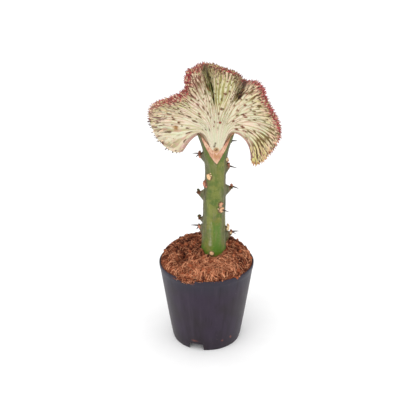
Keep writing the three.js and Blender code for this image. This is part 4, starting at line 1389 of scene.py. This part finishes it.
def make_soil():
    radii = SOIL_R * (1 - (1 - np.linspace(0, 1, 132)) ** 1.25)
    turn = around_circle(SOIL_SEGMENTS)
    x = radii[:, None] * np.cos(turn)
    y = radii[:, None] * np.sin(turn)
    rough, hollow = soil_relief(x, y)
    side = np.array([
        (57.0, 100), (44.35, RAISED_Z + 1.3), (43.3, RAISED_Z + SOIL_GAP),
        (22.45, RAISED_Z + SOIL_GAP), (20.7, CUP_FLOOR_Z + SOIL_GAP),
    ])
    reach, level = side.T[:, :, None]
    rings = points_of(reach * np.cos(turn), reach * np.sin(turn), level)
    grid = np.concatenate([points_of(x, y, soil_height(x, y) + rough), rings])
    shade = np.concatenate([hollow, np.full(rings.shape[:2], 0.5)])
    faces = tube_faces(1, len(grid), SOIL_SEGMENTS)
    del faces[-2]
    soil = make_object("soil_coir", grid, faces, {"hollow": shade})
    clean(soil)
    g = Graph("coir soil", 0.95, 0.1)
    middle = g.noise(3.2, 4)
    fine = g.noise(0.8, 4)
    colour = g.layers(
        g.blend(middle, 0.36, 0.64, (78, 42, 30), (140, 80, 56)),
        ((178, 116, 84), g.span(fine, 0.5, 0.72, 0, 0.6)),
        # Painted shade: darker in the heap's hollows
        ((40, 20, 15), g.span(g.attribute("hollow"), 0.4, 0.85, 0, 0.9)),
        # Painted shade: dark brown low down, where the soil shows through the pot's slots and
        # drains
        ((38, 26, 24), g.span(g.height(), 0.03, 0.01, 0, 0.8)),
    )
    relief = g.total((fine, 0.6), (middle, 0.4))
    g.finish(soil, colour, None, g.bump(relief, 0.9, 1.0))
    return soil


def scatter(rng, count):
    """Even spread of points over the soil, clear of the stock."""
    places = np.empty((0, 2))
    while len(places) < count:
        radius = (SOIL_R - SCATTER_MARGIN) * np.sqrt(rng.uniform(0, 1, count))
        turn = rng.uniform(0, 2 * math.pi, count)
        found = np.stack([radius * np.cos(turn), radius * np.sin(turn)], -1)
        clear = np.hypot(found[:, 0] - STEM_FOOT_X, found[:, 1]) > STEM_CLEAR_R
        places = np.concatenate([places, found[clear]])
    return places[:count]


def paint_coir(target):
    g = Graph("coir fibre", 0.85, 0.15)
    tone = g.attribute("tone")
    fine = g.noise(1.0, 3)
    colour = g.layers(
        g.blend(tone, 0.08, 0.45, (62, 28, 19), (156, 85, 55)),
        ((242, 172, 130), g.span(tone, 0.5, 0.98)),
        ((88, 46, 32), g.span(fine, 0.5, 0.75, 0, 0.3)),
    )
    g.finish(target, colour, None, g.bump(fine, 0.5, 0.3))


def keep_on_heap(x, y):
    """Draws points in from the pot's wall and out from the stock."""
    inside = RIM_INNER_R - STRAND_WALL_GAP
    shrink = np.minimum(1, inside / np.maximum(np.hypot(x, y), 1e-6))
    x = x * shrink
    y = y * shrink
    push = np.maximum(1, STRAND_STEM_R / np.maximum(np.hypot(x - STEM_FOOT_X, y), 1e-6))
    return STEM_FOOT_X + (x - STEM_FOOT_X) * push, y * push


def spill_over(rng, x, y, z):
    """Moves the first strands onto the rim at the front left, where they hang over it."""
    count = SPILLED_FIBRES
    share = np.linspace(-0.5, 0.5, x.shape[1])
    turn = np.radians(-90 - 25 + rng.normal(0, 5.5, count))[:, None]
    drop = rng.uniform(0, 1, count)[:, None]
    heading = rng.uniform(0, math.pi, count)[:, None]
    length = rng.uniform(3, 8, count)[:, None]
    angle = turn + length * share * np.cos(heading) / 60
    radius = 58.2 + 2.6 * drop + 0.5 * np.sin(3 * heading + 5 * share)
    height = 109.2 - 4.6 * drop**2 + 0.5 * length * share * np.sin(heading)
    x[:count] = radius * np.cos(angle)
    y[:count] = radius * np.sin(angle)
    z[:count] = height + rng.uniform(-0.6, 0.8, count)[:, None]


def make_fibres():
    """Curved coir strands lying over the heap, some bundled and some standing a little proud."""
    rng = np.random.default_rng(23)
    count = FIBRES
    places = scatter(rng, count)
    swirl = 2.4 * value_noise(points_of(places[:, 0], places[:, 1], 0), 14, 61)
    heading = rng.uniform(0, 2 * math.pi, count)
    bundled = rng.uniform(0, 1, count) < 0.5
    heading = np.where(bundled, swirl * 1.6 + rng.normal(0, 0.35, count), heading)[:, None]
    curl = rng.normal(0, 0.55, count)[:, None]
    length = rng.gamma(3.0, 2.9, count).clip(2.5, 22)[:, None]
    share = np.linspace(-0.5, 0.5, 6)
    angle = heading + curl * share
    x = places[:, :1] + length * share * np.cos(angle)
    y = places[:, 1:] + length * share * np.sin(angle)
    x, y = keep_on_heap(x, y)
    low = soil_relief(x, y)[0]
    lift = rng.uniform(0.0, 1.2, count)[:, None] + rng.uniform(-0.9, 1.2, count)[:, None] * share
    lift = lift + 1.4 * (0.25 - share**2) * rng.uniform(0, 2, count)[:, None]
    z = soil_height(x, y) + np.maximum(low, low.mean(1, keepdims=True)) * 0.9 + lift
    spill_over(rng, x, y, z)
    line = points_of(x, y, z)
    along = unit(np.gradient(line, axis=1))
    across = unit(np.cross(along, [0, 0, 1.0]))
    bold = rng.uniform(0, 1, count) < 0.3
    thick = np.where(bold, rng.uniform(0.24, 0.42, count), rng.uniform(0.12, 0.28, count))
    radii = thick[:, None] * (1 - 0.6 * np.abs(2 * share) ** 3)
    # Fibres painted paler toward the front as painted light, and darker in the heap's hollows as
    # painted shade
    front = 0.2 * np.clip(-places[:, 1] / 40, -1, 1)
    sunk = soil_relief(places[:, 0], places[:, 1])[1] - 0.45
    pale = rng.beta(0.8, 1.0, count) + front - 0.5 * sunk + np.where(bold, 0.08, -0.02)
    tone = np.clip(pale, 0, 1)[:, None, None]
    other = np.cross(along, across)
    fibres = make_tubes("coir_fibres", line, across, other, radii, 3, {"tone": tone})
    paint_coir(fibres)
    return fibres


def make_crumbs():
    """Loose crumbs of coir on the heap, with a little spilled over the rim at the front left."""
    rng = np.random.default_rng(29)
    x, y = scatter(rng, CRUMBS).T
    z = soil_height(x, y) + soil_relief(x, y)[0] + rng.uniform(-0.2, 0.8, CRUMBS)
    size = rng.gamma(2.2, 0.4, CRUMBS).clip(0.3, 2.4)
    spill = SPILLED_CRUMBS
    places = rng.choice([-26, -10, 12, 38, 150], spill, p=[0.6, 0.1, 0.1, 0.1, 0.1])
    turn = np.radians(-90 + places + rng.normal(0, 6, spill))
    radius = rng.uniform(56.0, 60.4, spill)
    spilled_z = 107.2 + rng.uniform(0, 3.0, spill) * np.clip((61 - radius) / 3, 0.2, 1)
    spilled = points_of(radius * np.cos(turn), radius * np.sin(turn), spilled_z)
    size = np.concatenate([size, rng.uniform(0.5, 1.4, spill)])
    centres = np.concatenate([points_of(x, y, z), spilled])
    points, faces = make_lumps(rng, centres, size, 0.5, 0.5, 0.7, 43)
    tone = np.repeat(rng.uniform(0, 0.7, len(size)), points.shape[1])
    crumbs = make_object("coir_crumbs", points, faces, {"tone": tone})
    paint_coir(crumbs)
    return crumbs


# Pot
def slot_cutter(turn_deg):
    """Box with its two upper corners cut off, through the foot ring."""
    out = outward(turn_deg)
    side = np.array([out[1], -out[0], 0])
    half = SLOT_WIDE / 2
    outline = ((half, -1), (half, SLOT_HIGH - SLOT_CORNER), (half - SLOT_CORNER, SLOT_HIGH))
    return hull_object("slot", [
        tuple(out * reach + side * width * sign + np.array([0, 0, z]))
        for reach in (SLOT_INNER_R, SLOT_INNER_R + SLOT_RUN)
        for width, z in outline
        for sign in (-1, 1)
    ])


def drain_cutter(turn):
    return hull_object("drain", [
        (DRAIN_RING_R * math.cos(turn) + DRAIN_R * math.cos(b),
         DRAIN_RING_R * math.sin(turn) + DRAIN_R * math.sin(b), z)
        for b in around_circle(24)
        for z in (0, RAISED_Z + 2)
    ])


def make_pot():
    profile = np.array([
        (0, 0), (21.6, 0), (22.1, 0.3), (23.9, RAISED_UNDER_Z - 0.4), (24.3, RAISED_UNDER_Z),
        (43.9, RAISED_UNDER_Z), (44.2, RAISED_UNDER_Z - 0.4), (42.4, 1.6), (41.8, 0.3),
        (42.0, 0), (42.8, 0), (43.2, 0.4), (43.7, 1.6),
        (44.4, 4), (45.4, 9), (49.0, 32), (52.6, 57), (56.2, 82), (58.3, 97),
        (58.7, 99.4), (59.05, 100.8), (59.35, 101.8), (59.6, 103), (59.8, 104.6),
        (59.9, 106.4), (59.85, 107.3), (59.5, 107.8), (59.1, 108), (58.7, 107.9),
        (RIM_INNER_R, 107.4), (57.2, 100), (44.7, RAISED_Z + 1.2), (43.5, RAISED_Z),
        (22.8, RAISED_Z), (21, CUP_FLOOR_Z), (0, CUP_FLOOR_Z),
    ])
    turn = around_circle(POT_SEGMENTS)
    radius, height = profile.T[:, :, None]
    points = points_of(radius * np.cos(turn), radius * np.sin(turn), height)
    pot = make_object("pot_shell", points, tube_grid(len(profile), POT_SEGMENTS))
    clean(pot, 0.02)
    cutters = [slot_cutter(SLOT_FIRST_DEG + 360 * k / SLOT_COUNT) for k in range(SLOT_COUNT)]
    drains = [2 * math.pi * (k + 0.5) / DRAIN_COUNT for k in range(DRAIN_COUNT)]
    cut_away(pot, cutters + [drain_cutter(turn) for turn in drains])
    paint_pot(pot)
    smooth_by_angle(pot, 32)
    return pot


def paint_pot(pot):
    g = Graph("pot plastic", 0.45, 0.25)
    height = g.height()
    broad = g.noise(40, 2)
    fine = g.noise(0.6, 3)
    drag = g.noise(6, 3, stretch=(1, 1, 0.06))
    spots = g.trail([(19.9, -41.4, 14), (30.9, -34.7, 14.4), (30.2, -35.3, 16)], 1.3, 0.9)
    smear = g.trail([(x, -43.6, 15) for x in range(-19, -7, 2)], 1.2, 1.0)
    colour = g.layers(
        g.blend(broad, 0.35, 0.65, (40, 31, 40), (47, 36, 52)),
        # Painted sheen: bluish toward the rim
        ((44, 43, 56), g.span(height, 0.08, 0.104), 0.7),
        ((58, 49, 62), g.span(drag, 0.5, 0.7, 0, 0.45)),
        ((34, 25, 33), g.span(drag, 0.46, 0.34, 0, 0.5)),
        # Painted shade: darker toward the bottom
        ((30, 22, 30), g.span(height, 0.03, 0.008, 0, 0.45)),
        ((158, 148, 148), g.span(g.cells(7), 0.02, 0.05, 1, 0), g.span(broad, 0.5, 0.62), 0.7),
        ((104, 62, 48), g.span(g.cells(4), 0.06, 0.12, 1, 0), g.span(height, 0.024, 0.008), 0.8),
        ((122, 70, 56), g.math("MAXIMUM", spots, smear), g.span(fine, 0.36, 0.56, 0.3, 0.9)),
        ((112, 76, 66), g.span(g.cells(3.1), 0.06, 0.14, 1, 0), g.span(height, 0.094, 0.103), 0.7),
    )
    roughness = g.span(g.total((fine,), (broad, 0.6)), 0.5, 1.1, 0.38, 0.52)
    g.finish(pot, colour, roughness, g.bump(g.total((fine, 0.5), (drag, 0.5)), 0.12, 0.3))


# Stage
def make_stage():
    half = FLOOR_HALF
    corners = [(-half, -half, 0), (half, -half, 0), (half, half, 0), (-half, half, 0)]
    floor = make_object("studio_floor", corners, [(0, 1, 2, 3)], smooth=False)
    g = Graph("studio paper", 0.9, 0.1)
    g.finish(floor, g.blend(g.noise(40, 2), 0.3, 0.7, (250, 250, 250), (252, 252, 252)))


def make_studio():
    scene = bpy.context.scene
    world = bpy.data.worlds.new("studio")
    world.use_nodes = True
    sky = world.node_tree.nodes["Background"]
    sky.inputs["Color"].default_value = (1, 1, 1, 1)
    sky.inputs["Strength"].default_value = SKY_STRENGTH
    scene.world = world
    scene.view_settings.view_transform = "Standard"
    for name, (toward, strength, angle_deg) in LIGHTS.items():
        light = bpy.data.lights.new(name, "SUN")
        light.energy = strength
        light.angle = math.radians(angle_deg)
        lamp = add_to_scene(name, light)
        lamp.rotation_euler = Vector(toward).to_track_quat("-Z", "Y").to_euler()

    camera = add_to_scene("camera", bpy.data.cameras.new("camera"))
    camera.location = CAMERA_AT
    camera.rotation_euler = (math.radians(90 - CAMERA_DOWN_DEG), 0, 0)
    camera.data.sensor_width = SENSOR
    camera.data.lens = FOCAL_SHARE * SENSOR
    scene.camera = camera


# Assembly
def place(piece, slot_name, node=None):
    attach(piece, "root")
    if node:
        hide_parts(node)


place(make_pot(), "pot", "pot")
place(make_soil(), "soil", "soil")
place(make_fibres(), "soil")
place(make_crumbs(), "soil")
place(make_stock(), "stock", "stock")
place(make_leaf_scars(), "stock")
place(make_knots(), "stock")
place(make_stock_spines(), "stock")
place(make_crest(), "crest", "crest")
place(make_tubercles(), "crest")
place(make_edge_spines(), "crest")
place(make_areoles(), "crest")
make_stage()
make_studio()
